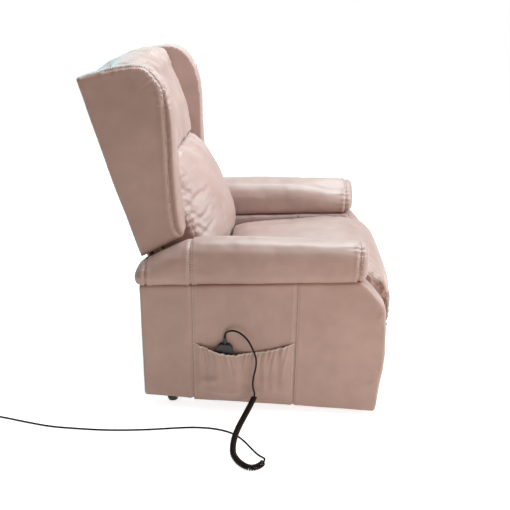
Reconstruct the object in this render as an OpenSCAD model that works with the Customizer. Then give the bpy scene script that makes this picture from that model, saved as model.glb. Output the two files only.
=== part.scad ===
// Lift recliner chair. Millimetres, +Z up, the sitter looks along -Y, the pocket is on the -X side.

/* [Overall] */
// Width over the two side panels
chair_width = 764; // [700:4:840]
// Height of the back above the arms
back_rise = 492; // [410:4:590]
// Thickness of an upholstered side panel
side_thickness = 66; // [56:2:78]
// Width of an arm pad
arm_width = 128; // [112:2:134]

/* [Cushions] */
// Crown of the seat cushion over its flat outline
seat_crown = 16; // [8:1:24]
// Forward bulge of the lower back cushion at its middle
back_bulge = 1; // [0.8:0.05:1.2]
// Thickness of the pocket cloth
pocket_cloth = 3.5; // [2.5:0.5:4.5]

/* [Steel frame] */
// Thickness of the chassis side plates
plate = 5; // [4:0.5:6]
// Thickness of a lift arm
arm_bar = 10; // [8:0.5:12]
// Width of a lift arm
arm_bar_width = 36; // [30:1:42]
// Thickness of a leg rest link
link_bar = 6; // [5:0.5:7]
// Diameter of the pivot studs
stud = 12; // [10:0.5:14]
// Wire of the zig-zag springs
spring_wire = 4; // [3:0.25:4.75]

/* [Feet, handset and cord] */
// Diameter of a foot
foot = 36; // [30:1:42]
// Diameter of a handset button
button = 12; // [10:0.5:14]
// Diameter of the straight leads
lead = 6; // [5:0.25:6.5]
// Turns of the curly cord
curls = 48; // [36:1:52]

/* [Hidden] */
round_sides = 48;
fit = 0.05;
seat_gap = 0.3;
ease = 0.02;
half = chair_width / 2;
panel_in = half - side_thickness;
plate_in = panel_in - plate;
outer_link = plate_in - 4 - link_bar;
bracket_out = outer_link - 3;
inner_link = bracket_out - 5 - 2 - link_bar;
seat_half = 262 + (chair_width - 764) / 2 - (side_thickness - 66);
arm_in = half + 14 - arm_width;
rail_out = seat_half;
front_arm_in = rail_out - 6 - arm_bar;
rear_arm_in = rail_out + 14;
wing_out = half - 56;
back_half = seat_half + 1;

// Pivots in the side view, as [y, z]
lift_front = [-330, 68];
lift_rear = [-270, 95];
lift_front_top = [-10, 85];
lift_rear_top = [196, 141];
back_hinge = [260, 380];
leg_main = [-412, 316];
leg_second = [-385, 347];
pad_main = [-444, 173];
pad_second = [-439, 240];
lift_motor_at = [222, 80];
leg_motor_at = [175, 240];
back_motor_at = [-40, 240];
lift_lever = 75;
leg_lever = 42;
back_lever = 75;
lift_lever_turn = 32;
leg_lever_turn = 42;
back_lever_turn = 17.5;
lift_pin = lift_front + lift_lever * [sin(lift_lever_turn), cos(lift_lever_turn)];
leg_pin = leg_main + leg_lever * [sin(leg_lever_turn), -cos(leg_lever_turn)];
back_pin = back_hinge + back_lever * [sin(back_lever_turn), -cos(back_lever_turn)];
pin = 10;
board_back = pad_main[0] + 15;
board_thick = 12;
lift_x = 0;
leg_x = -90;
back_x = 90;

// Base tubes
base_low = 14;
base_high = 34;
rail_wide = 40;
base_rear = 239;
base_front = -360;
cross_deep = 30;
base_reach = half - 32;
foot_rear = 254;
foot_x = half - 52;

// Chassis cross tubes
tube = 30;
tube_wall = 2;
seat_tube_low = 300;
front_tube = -379;
middle_tube = -25;
rear_tube = 95;
low_tube_y = 200;
low_tube_z = 200;

// Brackets, levers and pins
bracket = 6;
bracket_wide = 34;
bracket_root = 56;
gusset_high = 40;
cheeks = [-20, 14];
cheek_round = 28;
lever_half = 5;
pin_reach = 14;
pivot_tube = 30;
cross_tube = 24;
rear_cross_at = [98, 152];
hinge_tube = 26;
leg_link_wide = 20;
leg_lever_wide = 22;

// Motors: eye, neck, gear case, barrel, motor can and rod
motor_eye = 26;
neck = [24, 44];
gear_case = [44, 60];
gear_start = 100;
barrel = 36;
can = [42, 110];
can_drop = 36;
rod = 16;
fork_thick = 5;
fork_half = 11;
fork_jaw = 6;

// Springs across the seat and up the back: their places, waves and widths
seat_spring_x = [-190, -95, 0, 95, 190];
back_spring_x = [-120, 0, 120];
spring_waves = 10;
seat_spring_wide = 70;
back_spring_wide = 84;

// Control box and its sockets
box_at = [40, 262];
box_size = [120, 84, 56];
socket_x = [60, 100, 140];
socket_z = 280;
socket = 14;

// Back line of the springs, and the arm line
lean = 0.3;
frame_y = 248;
frame_z = 380;
arm_rise = 0.055;
arm_rear_z = 448;
arm_rear_y = 341;
back_split = 620;

function back_z(z) = z < back_split ? z : back_split + (z - back_split) * back_rise / 492;
function frame_at(z) = frame_y + (z - frame_z) * lean;
function arm_base(y) = arm_rear_z + (arm_rear_y - y) * arm_rise;
function cover_at(z) = 339 + (z - 517) * 0.297;
function cushion_back(z) = frame_at(z) - spring_wire - seat_gap;
function back_at(p) = [p[0] + lean * (back_z(p[1]) - p[1]), back_z(p[1])];

// Bolts of the side panels, and the row they stand in
bolt = 8;
bolt_rows = [-330, -200, -60, 60];
bolt_z = 300;
bolt_head = 14;
bolt_grip = 25;

// Seat cushion
seat_under = seat_tube_low + tube + spring_wire + seat_gap;
seat_steps = [
  [-1, 13], [-0.98, 5], [-0.94, 0], [-0.8, 0], [-0.45, 0], [0, 0], [0.45, 0], [0.8, 0], [0.94, 0], [0.98, 5], [1, 13]
];
seat_split = 368;
// The seat's body, and the waterfall front below it, as [y, z, share of the crown]
seat_body = [
  [-476, seat_split + seat_gap, 0], [-436, seat_split + seat_gap, 0], [-404, 352, 0], [-388, 342, 0],
  [-378, seat_under, 0], [95, seat_under, 0], [98, 390, 0], [95, 436, 0.3], [40, 450, 0.9], [-60, 463, 1],
  [-160, 475, 1], [-264, 484, 1], [-330, 486, 1], [-375, 480, 0.9], [-408, 466, 0.7], [-433, 446, 0.5],
  [-455, 418, 0.3], [-466, 394, 0.1], [-473, 380, 0]
];
seat_front = [
  [-444, 270, 0], [-440, 276, 0], [-440, 320, 0], [-440, seat_split, 0], [-476, seat_split, 0], [-478, 352, 0],
  [-476, 325, 0],
  [-473, 302, 0], [-470, 289, 0], [-465, 278, 0], [-458, 271, 0], [-450, 267, 0]
];
seat_front_ease = 0.35;
seat_end_fall = 14;
seat_nose = [-436, -476];

// Side panel and its inside board, as [y, z]
panel_outline = [
  [-430, 15], [340, 40], [341, 300], [arm_rear_y, arm_rear_z], [-352, arm_base(-352)], [-376, 468], [-398, 444],
  [-418, 419], [-431, 401], [-439, 374], [-442, 330], [-446, 284], [-448, 229], [-444, 169], [-439, 123],
  [-437, 84]
];
panel_steps = [[0, 0], [side_thickness - 12, 0], [side_thickness - 3, 2.5], [side_thickness, 9]];

// Inside board of the arm, between the seat cushion and the panel, above the steelwork
arm_board = [[-384, 374], [205, 374], [205, arm_base(205)], [-346, arm_base(-346)], [-366, 466], [-380, 430]];

// Cross-section of an arm pad as shares of its width and height
arm_section = [
  [0.02, 0.14], [0, 0.36], [0, 0.6], [0.06, 0.8], [0.2, 0.94], [0.4, 1], [0.62, 1], [0.82, 0.93], [0.95, 0.78],
  [1, 0.58], [1, 0.34], [0.97, 0.12], [0.89, 0], [0.375, 0], [0.1, 0.05]
];
// Along the pad: y, top, share of the full section
arm_steps = [
  [-368, 604, 0.68], [-365, 605, 0.83], [-357, 606, 0.94], [-338, 607, 1], [-180, 606, 1], [-20, 605, 1],
  [90, 603, 1], [150, 599, 1], [200, 583, 1], [260, 551, 1], [308, 522, 1], [334, 507, 0.98], [347, 500, 0.9],
  [352, 496, 0.72]
];

// Pocket: columns as y, rows as shares of its height
pocket_cols = [172, 160, 140, 118, 96, 82, 68, 54, 40, 18, -10, -40, -70, -100, -125, -145, -155];
pocket_rows = [0, 0.05, 0.2, 0.42, 0.66, 0.86, 1];
pocket_low = 36;

// Back frame and cushions
upright_wide = 28;
wing_outline = [
  [206, 606], [211, 594], [221, 587], [342, 517], [377, 627], [414, 740], [460, 900], [506, 1069], [470, 1082],
  [400, 1102], [341, 1112], [304, 1107], [282, 1092], [262, 1070], [242, 1036], [229, 990], [223, 940], [223, 860],
  [221, 780], [214, 690]
];
wing_steps = [[0, 0], [0.16, 0], [0.8, 0], [0.94, 4], [1, 12]];
cushion_steps = [
  [-1, 10], [-0.985, 3], [-0.94, 0], [-0.8, 0], [-0.5, 0], [0, 0], [0.5, 0], [0.8, 0], [0.94, 0], [0.985, 3], [1, 10]
];

lower_outline = [
  [98, 456], [180, 452], [cushion_back(458), 458], [cushion_back(600), 600], [cushion_back(760), 760],
  [cushion_back(856), 856],
  [300, 861], [240, 857], [221, 846], [196, 825], [174, 795], [148, 745], [124, 695], [104, 652], [88, 615],
  [76, 580], [70, 550], [71, 520], [79, 486]
];
// How far each point goes back, and how far down, towards the two ends
lower_fall = [40, 0, 0, 0, 0, 0, 4, 30, 45, 60, 78, 92, 100, 100, 100, 95, 85, 75, 58];
lower_drop = [0, 0, 0, 0, 0, 0, 60, 62, 60, 52, 40, 22, 8, 0, 0, 0, 0, 0, 0];
end_power = 2.3;
lower_hub = back_at([235, 640]);
head_hub = back_at([340, 980]);
wing_hub = back_at([320, 840]);
head_outline = [
  [227, 870], [300, 872], [cushion_back(873), 873], [cushion_back(960), 960], [cushion_back(1044), 1044],
  [470, 1047], [489, 1056], [484, 1068], [455, 1087], [410, 1108], [370, 1121], [338, 1127], [316, 1118],
  [299, 1090], [286, 1052], [272, 1012], [259, 975], [245, 935], [233, 895]
];
head_fall = [42, 0, 0, 0, 0, 0, 0, 0, 0, 4, 8, 14, 26, 38, 48, 54, 54, 50, 46];
head_drop = [58, 55, 0, 0, 0, 0, 0, 4, 10, 14, 16, 18, 20, 20, 20, 22, 28, 40, 52];

// Leg rest pad, as [from its back, z]
pad_back = board_back - board_thick;
pad_deep = 49;
pad_end_fall = 36;
pad_steps = [[-1, 8], [-0.99, 3], [-0.96, 0], [-0.5, 0], [0, 0], [0.5, 0], [0.96, 0], [0.99, 3], [1, 8]];
pad_outline = [
  [-39, 48], [-22, 44], [-5, 44], [0, 48], [0, 140], [0, 234], [-5, 246], [-18, 250], [-32, 246], [-42, 236],
  [-pad_deep, 212], [-pad_deep, 180], [-pad_deep, 130], [-pad_deep, 80]
];

// Handset
hand_y = 68;
hand_low = 104;
hand_high = 262;
hand_wide = 52;
hand_back = -half - seat_gap;
hand_thick = 20;
hand_wall = 2;
hand_flat = 4;
button_rows = [130, 158, 186];

relief_top = hand_high + 20;
lead_x = hand_back - hand_thick / 2;
// The first and last steps of each route are the straight ends where two leads meet
lead_route = [
  [lead_x, hand_y, relief_top], [lead_x, hand_y, relief_top + 7], [-396, 60, 303], [-402, 40, 311], [-408, 16, 305],
  [-414, -8, 284], [-418, -24, 254], [-418, -34, 222], [-416, -34, 190], [-416, -28, 158], [-416, -25, 128],
  [-418, -27, 108], [-420, -31, 96], [-421, -31, 88]
];
curl_route = [
  [-421, -31, 88], [-422, -31, 80], [-433, -24, 69], [-447, -16, 57], [-477, 0, 37], [-509, 13, 24], [-549, 22, 16],
  [-588, 24, 10], [-622, 20, 8], [-648, 8, 7.6], [-667, -8, 7.6], [-680, -28, 7.6], [-679, -48, 7.6],
  [-667, -65, 7.6], [-657, -71, 7.6], [-650, -73.5, 7.6]
];
floor_route = [
  [-650, -73.5, 7.6], [-645.3, -75.2, 7.6], [-638.5, -76, 7], [-632.4, -74.2, 6], [-627.6, -70.4, 5], [-617, -58, 4],
  [-602, -45, 3.4], [-583, -31, 3], [-552, -8, 3], [-527, 16, 3], [-507, 50, 3], [-495, 100, 3], [-494, 160, 3],
  [-502, 220, 3], [-514, 290, 3], [-524, 370, 3], [-529, 450, 3], [-528, 540, 3], [-523, 620, 3], [-508, 700, 3],
  [-490, 780, 3], [-479, 845, 3], [-476, 868, 3], [-476, 875, 3]
];
coil_turns = 2.25;
coil_r = 36;
coil_rise = lead + 1;
coil_at = [-440, 880];
coil_top = lead / 2 + coil_turns * coil_rise;
coil_end = coil_at[1] + coil_r;
coil_route = concat(
  [floor_route[len(floor_route) - 1]],
  [
    for (i = [0 : 24 * coil_turns])
      let (a = 180 - i * 15)
      [coil_at[0] + coil_r * cos(a), coil_at[1] + coil_r * sin(a), lead / 2 + coil_rise * i / 24]
  ],
  [
    for (p = [[10, 0.2], [20, -0.4], [32, -4], [46, -9], [56, -11.25], [66, -11.25]])
      [coil_at[0] + p[0], coil_end, coil_top + p[1]]
  ]
);
plug_at = coil_route[len(coil_route) - 1];
curl_wire = 3.2;
curl_reach = 5.9;

cloth = [0.74, 0.64, 0.58];
steel = [0.25, 0.26, 0.28];
bright = [0.7, 0.71, 0.73];
black = [0.08, 0.08, 0.09];
timber = [0.72, 0.58, 0.4];

// A flat shape in the side view, between two distances across the chair
module side_plate(from, to)
  translate([from, 0, 0])
    rotate([90, 0, 90])
      linear_extrude(to - from)
        children();

module both() {
  children();
  mirror([1, 0, 0]) children();
}

module disc_at(p, d)
  translate(p)
    circle(d = d, $fn = round_sides);

module bar_shape(p, q, wide) {
  turn = atan2(q[1] - p[1], q[0] - p[0]);
  disc_at(p, wide);
  disc_at(q, wide);
  translate(p)
    rotate(turn)
      translate([0, ease - wide / 2])
        square([norm(q - p), wide - 2 * ease]);
}

module pin_across(from, to, p, d)
  translate([from, p[0], p[1]])
    rotate([0, 90, 0])
      cylinder(d = d, h = to - from, $fn = round_sides);

// A slot of a lever, along its length
module slot_shape(centre, p, wide, inward, outward) {
  way = (p - centre) / norm(p - centre);
  bar_shape(p - inward * way, p + outward * way, wide);
}

module tube_across(from, to, y, z, deep, high)
  difference() {
    translate([from, y, z]) cube([to - from, deep, high]);
    translate([from - 1, y + tube_wall, z + tube_wall])
      cube([to - from + 2, deep - 2 * tube_wall, high - 2 * tube_wall]);
  }

// Outline drawn in by a distance
function inset(p, d) = [
  for (i = [0 : len(p) - 1])
    let (
      a = p[(i + len(p) - 1) % len(p)],
      b = p[(i + 1) % len(p)],
      t = (b - a) / norm(b - a)
    )
    p[i] + d * [-t[1], t[0]]
];

// A closed body through rings of equal count, with a hub point at each end
module loft(rings, hub_a, hub_b) {
  n = len(rings[0]);
  k = len(rings);
  walls = [
    for (j = [0 : k - 2], i = [0 : n - 1])
      let (m = (i + 1) % n)
      each [[j * n + i, (j + 1) * n + i, (j + 1) * n + m], [j * n + i, (j + 1) * n + m, j * n + m]]
  ];
  caps = [
    for (i = [0 : n - 1])
      let (m = (i + 1) % n)
      each [[n * k, i, m], [n * k + 1, (k - 1) * n + m, (k - 1) * n + i]]
  ];
  polyhedron(points = concat([for (r = rings) each r], [hub_a, hub_b]), faces = concat(walls, caps));
}

function station(x, outline) = [for (p = outline) [x, p[0], p[1]]];

// Tube through points, turned so that ref never runs along it
function ring_at(c, way, ref, r, sides, turn) =
  let (
    s = cross(way, ref),
    a = s / norm(s),
    b = cross(a, way)
  )
  [for (i = [0 : sides - 1]) c + r * (cos(turn + i * 360 / sides) * a + sin(turn + i * 360 / sides) * b)];

function way_at(p, i) =
  let (
    a = p[max(i - 1, 0)],
    b = p[min(i + 1, len(p) - 1)]
  )
  (b - a) / norm(b - a);

module tube_through(p, d, sides, ref)
  loft([for (i = [0 : len(p) - 1]) ring_at(p[i], way_at(p, i), ref, d / 2, sides, 0)], p[0], p[len(p) - 1]);

// Smooth curve through hand-chosen points
function between(a, b, c, d, t) =
  0.5 * (2 * b + (c - a) * t + (2 * a - 5 * b + 4 * c - d) * t * t + (3 * b - a - 3 * c + d) * t * t * t);

function smooth(p, steps) = [
  for (i = [0 : len(p) - 2], s = [0 : steps - 1])
    between(
      i == 0 ? 2 * p[0] - p[1] : p[i - 1], p[i], p[i + 1],
      i == len(p) - 2 ? 2 * p[len(p) - 1] - p[len(p) - 2] : p[i + 2], s / steps
    ),
  p[len(p) - 1]
];

// The same with its two end steps left straight, and nowhere lower than low
function route_of(p, steps, low) = concat(
  [p[0]],
  [for (q = smooth([for (i = [1 : len(p) - 2]) p[i]], steps)) [q[0], q[1], max(q[2], low)]],
  [p[len(p) - 1]]
);

// Least gap of a tube to itself, between points that lie more than a few rings apart
function least_gap(line, skip, wide) = min([
  for (i = [0 : len(line) - 1 - skip], j = [i + skip : len(line) - 1]) norm(line[i] - line[j])
]) - wide;

function piece_of(lengths, at) = max([for (i = [0 : len(lengths) - 2]) lengths[i] <= at ? i : 0]);
function point_on(route, lengths, at) =
  let (i = piece_of(lengths, at), t = (at - lengths[i]) / (lengths[i + 1] - lengths[i]))
  route[i] + t * (route[i + 1] - route[i]);
function heading_on(route, lengths, at) =
  let (i = piece_of(lengths, at), d = route[min(i + 2, len(route) - 1)] - route[max(i - 1, 0)])
  d / norm(d);

// ---- Base ----

module base_rails() {
  color(steel)
    both()
      difference() {
        translate([rail_out - rail_wide, base_front + cross_deep, base_low])
          cube([rail_wide, base_rear - base_front - cross_deep, base_high - base_low]);
        translate([rail_out - rail_wide + tube_wall, base_front, base_low + tube_wall])
          cube([rail_wide - 2 * tube_wall, base_rear - base_front + cross_deep, base_high - base_low - 2 * tube_wall]);
      }
}

module base_cross_front()
  color(steel)
    tube_across(-rail_out, rail_out, base_front, base_low, cross_deep, base_high - base_low);

module base_cross_rear()
  color(steel)
    tube_across(-base_reach, base_reach, base_rear, base_low, cross_deep, base_high - base_low);

module base_feet() {
  color(black)
    both() {
      translate([foot_x, foot_rear, 0]) cylinder(d1 = foot - 3, d2 = foot, h = base_low, $fn = round_sides);
      translate([rail_out - rail_wide / 2, base_front + cross_deep / 2, 0])
        cylinder(d1 = foot - 3, d2 = foot, h = base_low, $fn = round_sides);
    }
}

module base_brackets() {
  color(steel) {
    both()
      side_plate(rail_out - bracket, rail_out) {
        bar_shape([lift_front[0], bracket_root], lift_front, bracket_wide);
        bar_shape([lift_rear[0], bracket_root], lift_rear, bracket_wide);
        translate([lift_front[0] - bracket_wide / 2, base_high])
          square([lift_rear[0] - lift_front[0] + bracket_wide, gusset_high]);
      }
    for (x = cheeks)
      side_plate(x, x + bracket) {
        disc_at(lift_motor_at, cheek_round);
        translate([lift_motor_at[0] - cheek_round / 2, base_high])
          square([cheek_round, lift_motor_at[1] - base_high]);
        translate([lift_motor_at[0], base_high]) square([30, 14]);
      }
  }
}

module base_studs() {
  color(bright) {
    both() {
      pin_across(front_arm_in - 16, rail_out - bracket, lift_front, stud);
      pin_across(rail_out, rear_arm_in + arm_bar + 2, lift_rear, stud);
    }
    pin_across(-pin_reach, pin_reach, lift_motor_at, stud);
  }
}

// ---- Lift arms ----

module lift_front_arms()
  color(steel)
    both()
      side_plate(front_arm_in, front_arm_in + arm_bar)
        difference() {
          bar_shape(lift_front, lift_front_top, arm_bar_width);
          disc_at(lift_front, stud + 2 * fit);
          disc_at(lift_front_top, stud + 2 * fit);
        }

module lift_torque_tube()
  color(steel) {
    side_plate(-front_arm_in, front_arm_in)
      difference() {
        disc_at(lift_front, pivot_tube);
        disc_at(lift_front, stud + 2 * fit);
      }
    side_plate(-lever_half, lever_half)
      difference() {
        union() {
          bar_shape(lift_front, lift_pin, pivot_tube);
          slot_shape(lift_front, lift_pin, pivot_tube, 4, 4);
        }
        slot_shape(lift_front, lift_pin, pin + 5, 9.5, 5.8);
      }
  }

module lift_rear_arms()
  color(steel)
    both()
      side_plate(rear_arm_in, rear_arm_in + arm_bar)
        difference() {
          union() {
            bar_shape(lift_rear, lift_rear_top, arm_bar_width);
            bar_shape(rear_cross_at - [0, 20], rear_cross_at, pivot_tube);
          }
          disc_at(lift_rear, stud + 2 * fit);
          disc_at(lift_rear_top, stud + 2);
        }

module lift_rear_tube()
  color(steel)
    pin_across(-rear_arm_in, rear_arm_in, rear_cross_at, cross_tube);

// ---- Motors: a geared housing with a sliding rod ----

module motor_body(reach, drop)
  difference() {
    union() {
      rotate([0, 90, 0]) translate([0, 0, -motor_eye / 2]) cylinder(d = motor_eye, h = motor_eye, $fn = round_sides);
      translate([-neck[0] / 2, -neck[1], -neck[0] / 2]) cube([neck[0], neck[1], neck[0]]);
      translate([-gear_case[0] / 2, -gear_start, -gear_case[0] / 2]) cube([gear_case[0], gear_case[1], gear_case[0]]);
      translate([0, 2 - gear_start, 0])
        rotate([90, 0, 0]) cylinder(d = barrel, h = reach + 2 - gear_start, $fn = round_sides);
      translate([0, -neck[1], drop * can_drop]) rotate([90, 0, 0]) cylinder(d = can[0], h = can[1], $fn = round_sides);
    }
    rotate([0, 90, 0])
      translate([0, 0, -pin_reach]) cylinder(d = stud + 2 * fit, h = 2 * pin_reach, $fn = round_sides);
    translate([0, -gear_start - 10, 0]) rotate([90, 0, 0]) cylinder(d = rod + 2 * fit, h = reach, $fn = round_sides);
  }

module motor_rod(start, long, fork) {
  side = fork_jaw + fork_thick;
  translate([0, -start, 0])
    rotate([90, 0, 0]) cylinder(d = rod, h = long - start - fork - 10, $fn = round_sides);
  translate([-side, -long + fork, -fork_half]) cube([2 * side, 12, 2 * fork_half]);
  for (x = [-side, fork_jaw]) {
    translate([x, -long, -fork_half]) cube([fork_thick, fork + 2, 2 * fork_half]);
    translate([x, -long, 0]) rotate([0, 90, 0]) cylinder(d = 2 * fork_half, h = fork_thick, $fn = round_sides);
  }
  rotate([0, 90, 0]) translate([0, -long, -side - 2]) cylinder(d = pin, h = 2 * side + 4, $fn = round_sides);
}

module aim(x, from, to)
  translate([x, from[0], from[1]])
    rotate([atan2(from[1] - to[1], from[0] - to[0]), 0, 0])
      children();

module lift_motor()
  color(black) aim(lift_x, lift_motor_at, lift_pin) motor_body(390, -1);

module lift_motor_rod()
  color(bright) aim(lift_x, lift_motor_at, lift_pin) motor_rod(130, norm(lift_pin - lift_motor_at), 30);

module leg_motor()
  color(black) aim(leg_x, leg_motor_at, leg_pin) motor_body(400, -1);

module leg_motor_rod()
  color(bright) aim(leg_x, leg_motor_at, leg_pin) motor_rod(130, norm(leg_pin - leg_motor_at), 20);

module back_motor()
  color(black) aim(back_x, back_motor_at, back_pin) motor_body(240, 1);

module back_motor_rod()
  color(bright) aim(back_x, back_motor_at, back_pin) motor_rod(180, norm(back_pin - back_motor_at), 20);

// ---- Chassis ----

module chassis_side_plates()
  color(steel)
    both()
      side_plate(plate_in, panel_in)
        difference() {
          polygon([
            [-420, 296], [-386, 270], [150, 270], [164, 130], [176, 114], [216, 114], [228, 130], [238, 300],
            [286, 362], [286, 398], [270, 408], [248, 404], [222, 330], [-354, 330], [-368, 362], [-396, 366],
            [-420, 340]
          ]);
          for (y = bolt_rows)
            disc_at([y, bolt_z], bolt);
        }

module panel_bolts()
  color(bright)
    both()
      for (y = bolt_rows) {
        pin_across(plate_in - 6, plate_in, [y, bolt_z], bolt_head);
        pin_across(plate_in, panel_in + bolt_grip, [y, bolt_z], bolt);
      }

module chassis_cross_tubes()
  color(steel) {
    for (y = [front_tube, middle_tube, rear_tube])
      tube_across(-plate_in, plate_in, y, seat_tube_low, tube, tube);
    tube_across(-plate_in, plate_in, low_tube_y, low_tube_z, tube, tube);
  }

module lift_hangers()
  color(steel)
    both()
      side_plate(rail_out - bracket, rail_out) {
        bar_shape(lift_front_top, [lift_front_top[0], 150], bracket_wide);
        translate([lift_front_top[0] - bracket_wide / 2, 120]) square([bracket_wide, seat_tube_low - 120]);
      }

module chassis_studs()
  color(bright) {
    both() {
      pin_across(front_arm_in - 2, rail_out - bracket, lift_front_top, stud);
      pin_across(rear_arm_in - 2, plate_in, lift_rear_top, stud);
      pin_across(outer_link - 1, plate_in, leg_second, stud);
      pin_across(back_half + 6, plate_in, back_hinge, stud);
    }
    pin_across(leg_x - pin_reach, leg_x + pin_reach, leg_motor_at, stud);
    pin_across(back_x - pin_reach, back_x + pin_reach, back_motor_at, stud);
  }

module leg_bearings()
  color(steel)
    both()
      side_plate(seat_half - 24, seat_half - 16)
        difference() {
          union() {
            disc_at(leg_main, 44);
            polygon([[leg_main[0], 296], [front_tube, 300], [front_tube, 330], [leg_main[0], 337]]);
          }
          disc_at(leg_main, cross_tube + 2 * fit);
        }

module motor_brackets()
  color(steel) {
    for (s = cheeks) {
      side_plate(leg_x + s, leg_x + s + bracket) {
        disc_at(leg_motor_at, cheek_round);
        polygon([[162, 234], [190, 205], [low_tube_y, 202], [low_tube_y, 230], [185, 250]]);
      }
      side_plate(back_x + s, back_x + s + bracket) {
        disc_at(back_motor_at, cheek_round);
        polygon([[-53, 236], [-30, 230], [5, seat_tube_low], [middle_tube, seat_tube_low]]);
      }
    }
  }

// Zig-zag spring wire from p to q in the side view, bent to and fro across the chair
module zigzag(x, p, q, waves, wide) {
  pitch = norm(q - p) / waves;
  way = (q - p) / norm(q - p);
  bend = pitch / 2;
  wire = [
    [x, p[0], p[1]],
    for (i = [0 : waves - 1], turn = [-62, -22, 22, 62])
      let (
        side = i % 2 == 0 ? 1 : -1,
        along = i * pitch + bend * (1 + sin(turn)),
        at = p + along * way
      )
      [x + side * (wide / 2 - bend + bend * cos(turn)), at[0], at[1]],
    [x, q[0], q[1]]
  ];
  tube_through(wire, spring_wire, 6, [0, -way[1], way[0]]);
}

module seat_springs()
  color(bright)
    for (x = seat_spring_x)
      zigzag(
        x * seat_half / 262, [front_tube + 10, seat_tube_low + tube + spring_wire / 2],
        [rear_tube + 20, seat_tube_low + tube + spring_wire / 2], spring_waves, seat_spring_wide
      );

// ---- Upholstery on the chassis ----

function nose_share(y) = max(0, min(1, (seat_nose[0] - y) / (seat_nose[0] - seat_nose[1])));

function seat_ring(points, step, ease_share) =
  let (
    outline = inset([for (p = points) [p[0], p[1]]], step[1] * ease_share),
    swell = seat_crown * (1 - step[0] * step[0]),
    fall = seat_end_fall * pow(abs(step[0]), 1.7)
  )
  [
    for (i = [0 : len(outline) - 1])
      [step[0] * seat_half, outline[i][0] + fall * nose_share(points[i][0]), outline[i][1] + swell * points[i][2]]
  ];

module seat_cushion()
  color(cloth) {
    loft([for (s = seat_steps) seat_ring(seat_body, s, 1)], [-seat_half, -200, 400], [seat_half, -200, 400]);
    loft(
      [for (s = seat_steps) seat_ring(seat_front, s, seat_front_ease)],
      [-seat_half, -451, 320], [seat_half, -451, 320]
    );
  }

module side_panel_left()
  color(cloth) {
    difference() {
      loft(
        [for (s = panel_steps) station(panel_in + s[0], inset(panel_outline, s[1]))],
        [panel_in, -50, 250], [half, -50, 250]
      );
      for (y = bolt_rows)
        pin_across(panel_in - 1, panel_in + bolt_grip, [y, bolt_z], bolt);
    }
    side_plate(arm_in + 1, panel_in)
      polygon(arm_board);
  }

module side_panel_right()
  mirror([1, 0, 0]) side_panel_left();

function arm_ring(s) = [
  for (p = arm_section)
    let (
      low = arm_base(s[0]),
      x = arm_in + arm_width * (0.5 + (p[0] - 0.5) * s[2]),
      z = low + (s[1] - low) * (0.5 + (p[1] - 0.5) * s[2])
    )
    [x, s[0], z]
];

module arm_pad_left() {
  first = arm_steps[0];
  last = arm_steps[len(arm_steps) - 1];
  middle = arm_in + arm_width / 2;
  color(cloth)
    loft(
      [for (s = arm_steps) arm_ring(s)],
      [middle, first[0], (arm_base(first[0]) + first[1]) / 2], [middle, last[0], (arm_base(last[0]) + last[1]) / 2]
    );
}

module arm_pad_right()
  mirror([1, 0, 0]) arm_pad_left();

// Pocket: cloth sheet over the right-hand panel, fuller where the handset stands
function pocket_top(y) = 222 + 34 * pow(abs(y - 25) / 160, 1.7);
function pocket_full(y, v) =
  let (
    edge = min(1, (172 - y) / 26, (y + 155) / 26),
    foot_edge = min(1, v / 0.24),
    bump = exp(-pow((y - 68) / 52, 4))
  )
  edge * foot_edge * (7 + 17.5 * bump + 1.5 * v * cos(y * 12));

module pocket() {
  n = len(pocket_cols);
  m = len(pocket_rows);
  inner = [
    for (v = pocket_rows, y = pocket_cols)
      [-half - pocket_full(y, v), y, pocket_low + (pocket_top(y) - pocket_low) * v]
  ];
  outer = [for (p = inner) p - [pocket_cloth, 0, 0]];
  k = n * m;
  sheet = [
    for (j = [0 : m - 2], i = [0 : n - 2])
      let (a = j * n + i, b = a + 1, c = a + n, d = c + 1)
      each [[a, b, d], [a, d, c], [k + a, k + d, k + b], [k + a, k + c, k + d]]
  ];
  rim_low = [for (i = [0 : n - 2]) each [[i, k + i, k + i + 1], [i, k + i + 1, i + 1]]];
  rim_top = [
    for (i = [0 : n - 2])
      let (a = (m - 1) * n + i)
      each [[a, a + 1, k + a + 1], [a, k + a + 1, k + a]]
  ];
  rim_rear = [for (j = [0 : m - 2]) let (a = j * n) each [[a, a + n, k + a + n], [a, k + a + n, k + a]]];
  rim_front = [
    for (j = [0 : m - 2])
      let (a = j * n + n - 1)
      each [[a, k + a, k + a + n], [a, k + a + n, a + n]]
  ];
  color(cloth)
    polyhedron(
      points = concat(inner, outer),
      faces = [for (f = concat(sheet, rim_low, rim_top, rim_rear, rim_front)) [f[0], f[1], f[2]]]
    );
}

module control_box()
  color(black)
    difference() {
      translate([box_at[0], front_tube + tube, box_at[1]]) cube(box_size);
      for (x = socket_x)
        translate([x, front_tube + tube + box_size[1] - 8, socket_z])
          rotate([-90, 0, 0]) cylinder(d = socket, h = 20, $fn = round_sides);
    }

// ---- Back ----

module back_uprights()
  color(timber)
    both()
      difference() {
        side_plate(back_half - upright_wide, back_half)
          polygon([
            [frame_at(385), 385], [frame_at(385) + 26, 385],
            [frame_at(back_z(1040)) + 26, back_z(1040)], [frame_at(back_z(1040)), back_z(1040)]
          ]);
        pin_across(back_half - upright_wide - 1, back_half + 1, back_hinge, hinge_tube);
      }

module back_rails()
  color(timber)
    for (z = [430, 840, 1010])
      side_plate(-back_half + upright_wide, back_half - upright_wide)
        polygon([
          [frame_at(back_z(z)), back_z(z)], [frame_at(back_z(z)) + 24, back_z(z)],
          [frame_at(back_z(z) + 28) + 24, back_z(z) + 28], [frame_at(back_z(z) + 28), back_z(z) + 28]
        ]);

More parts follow.
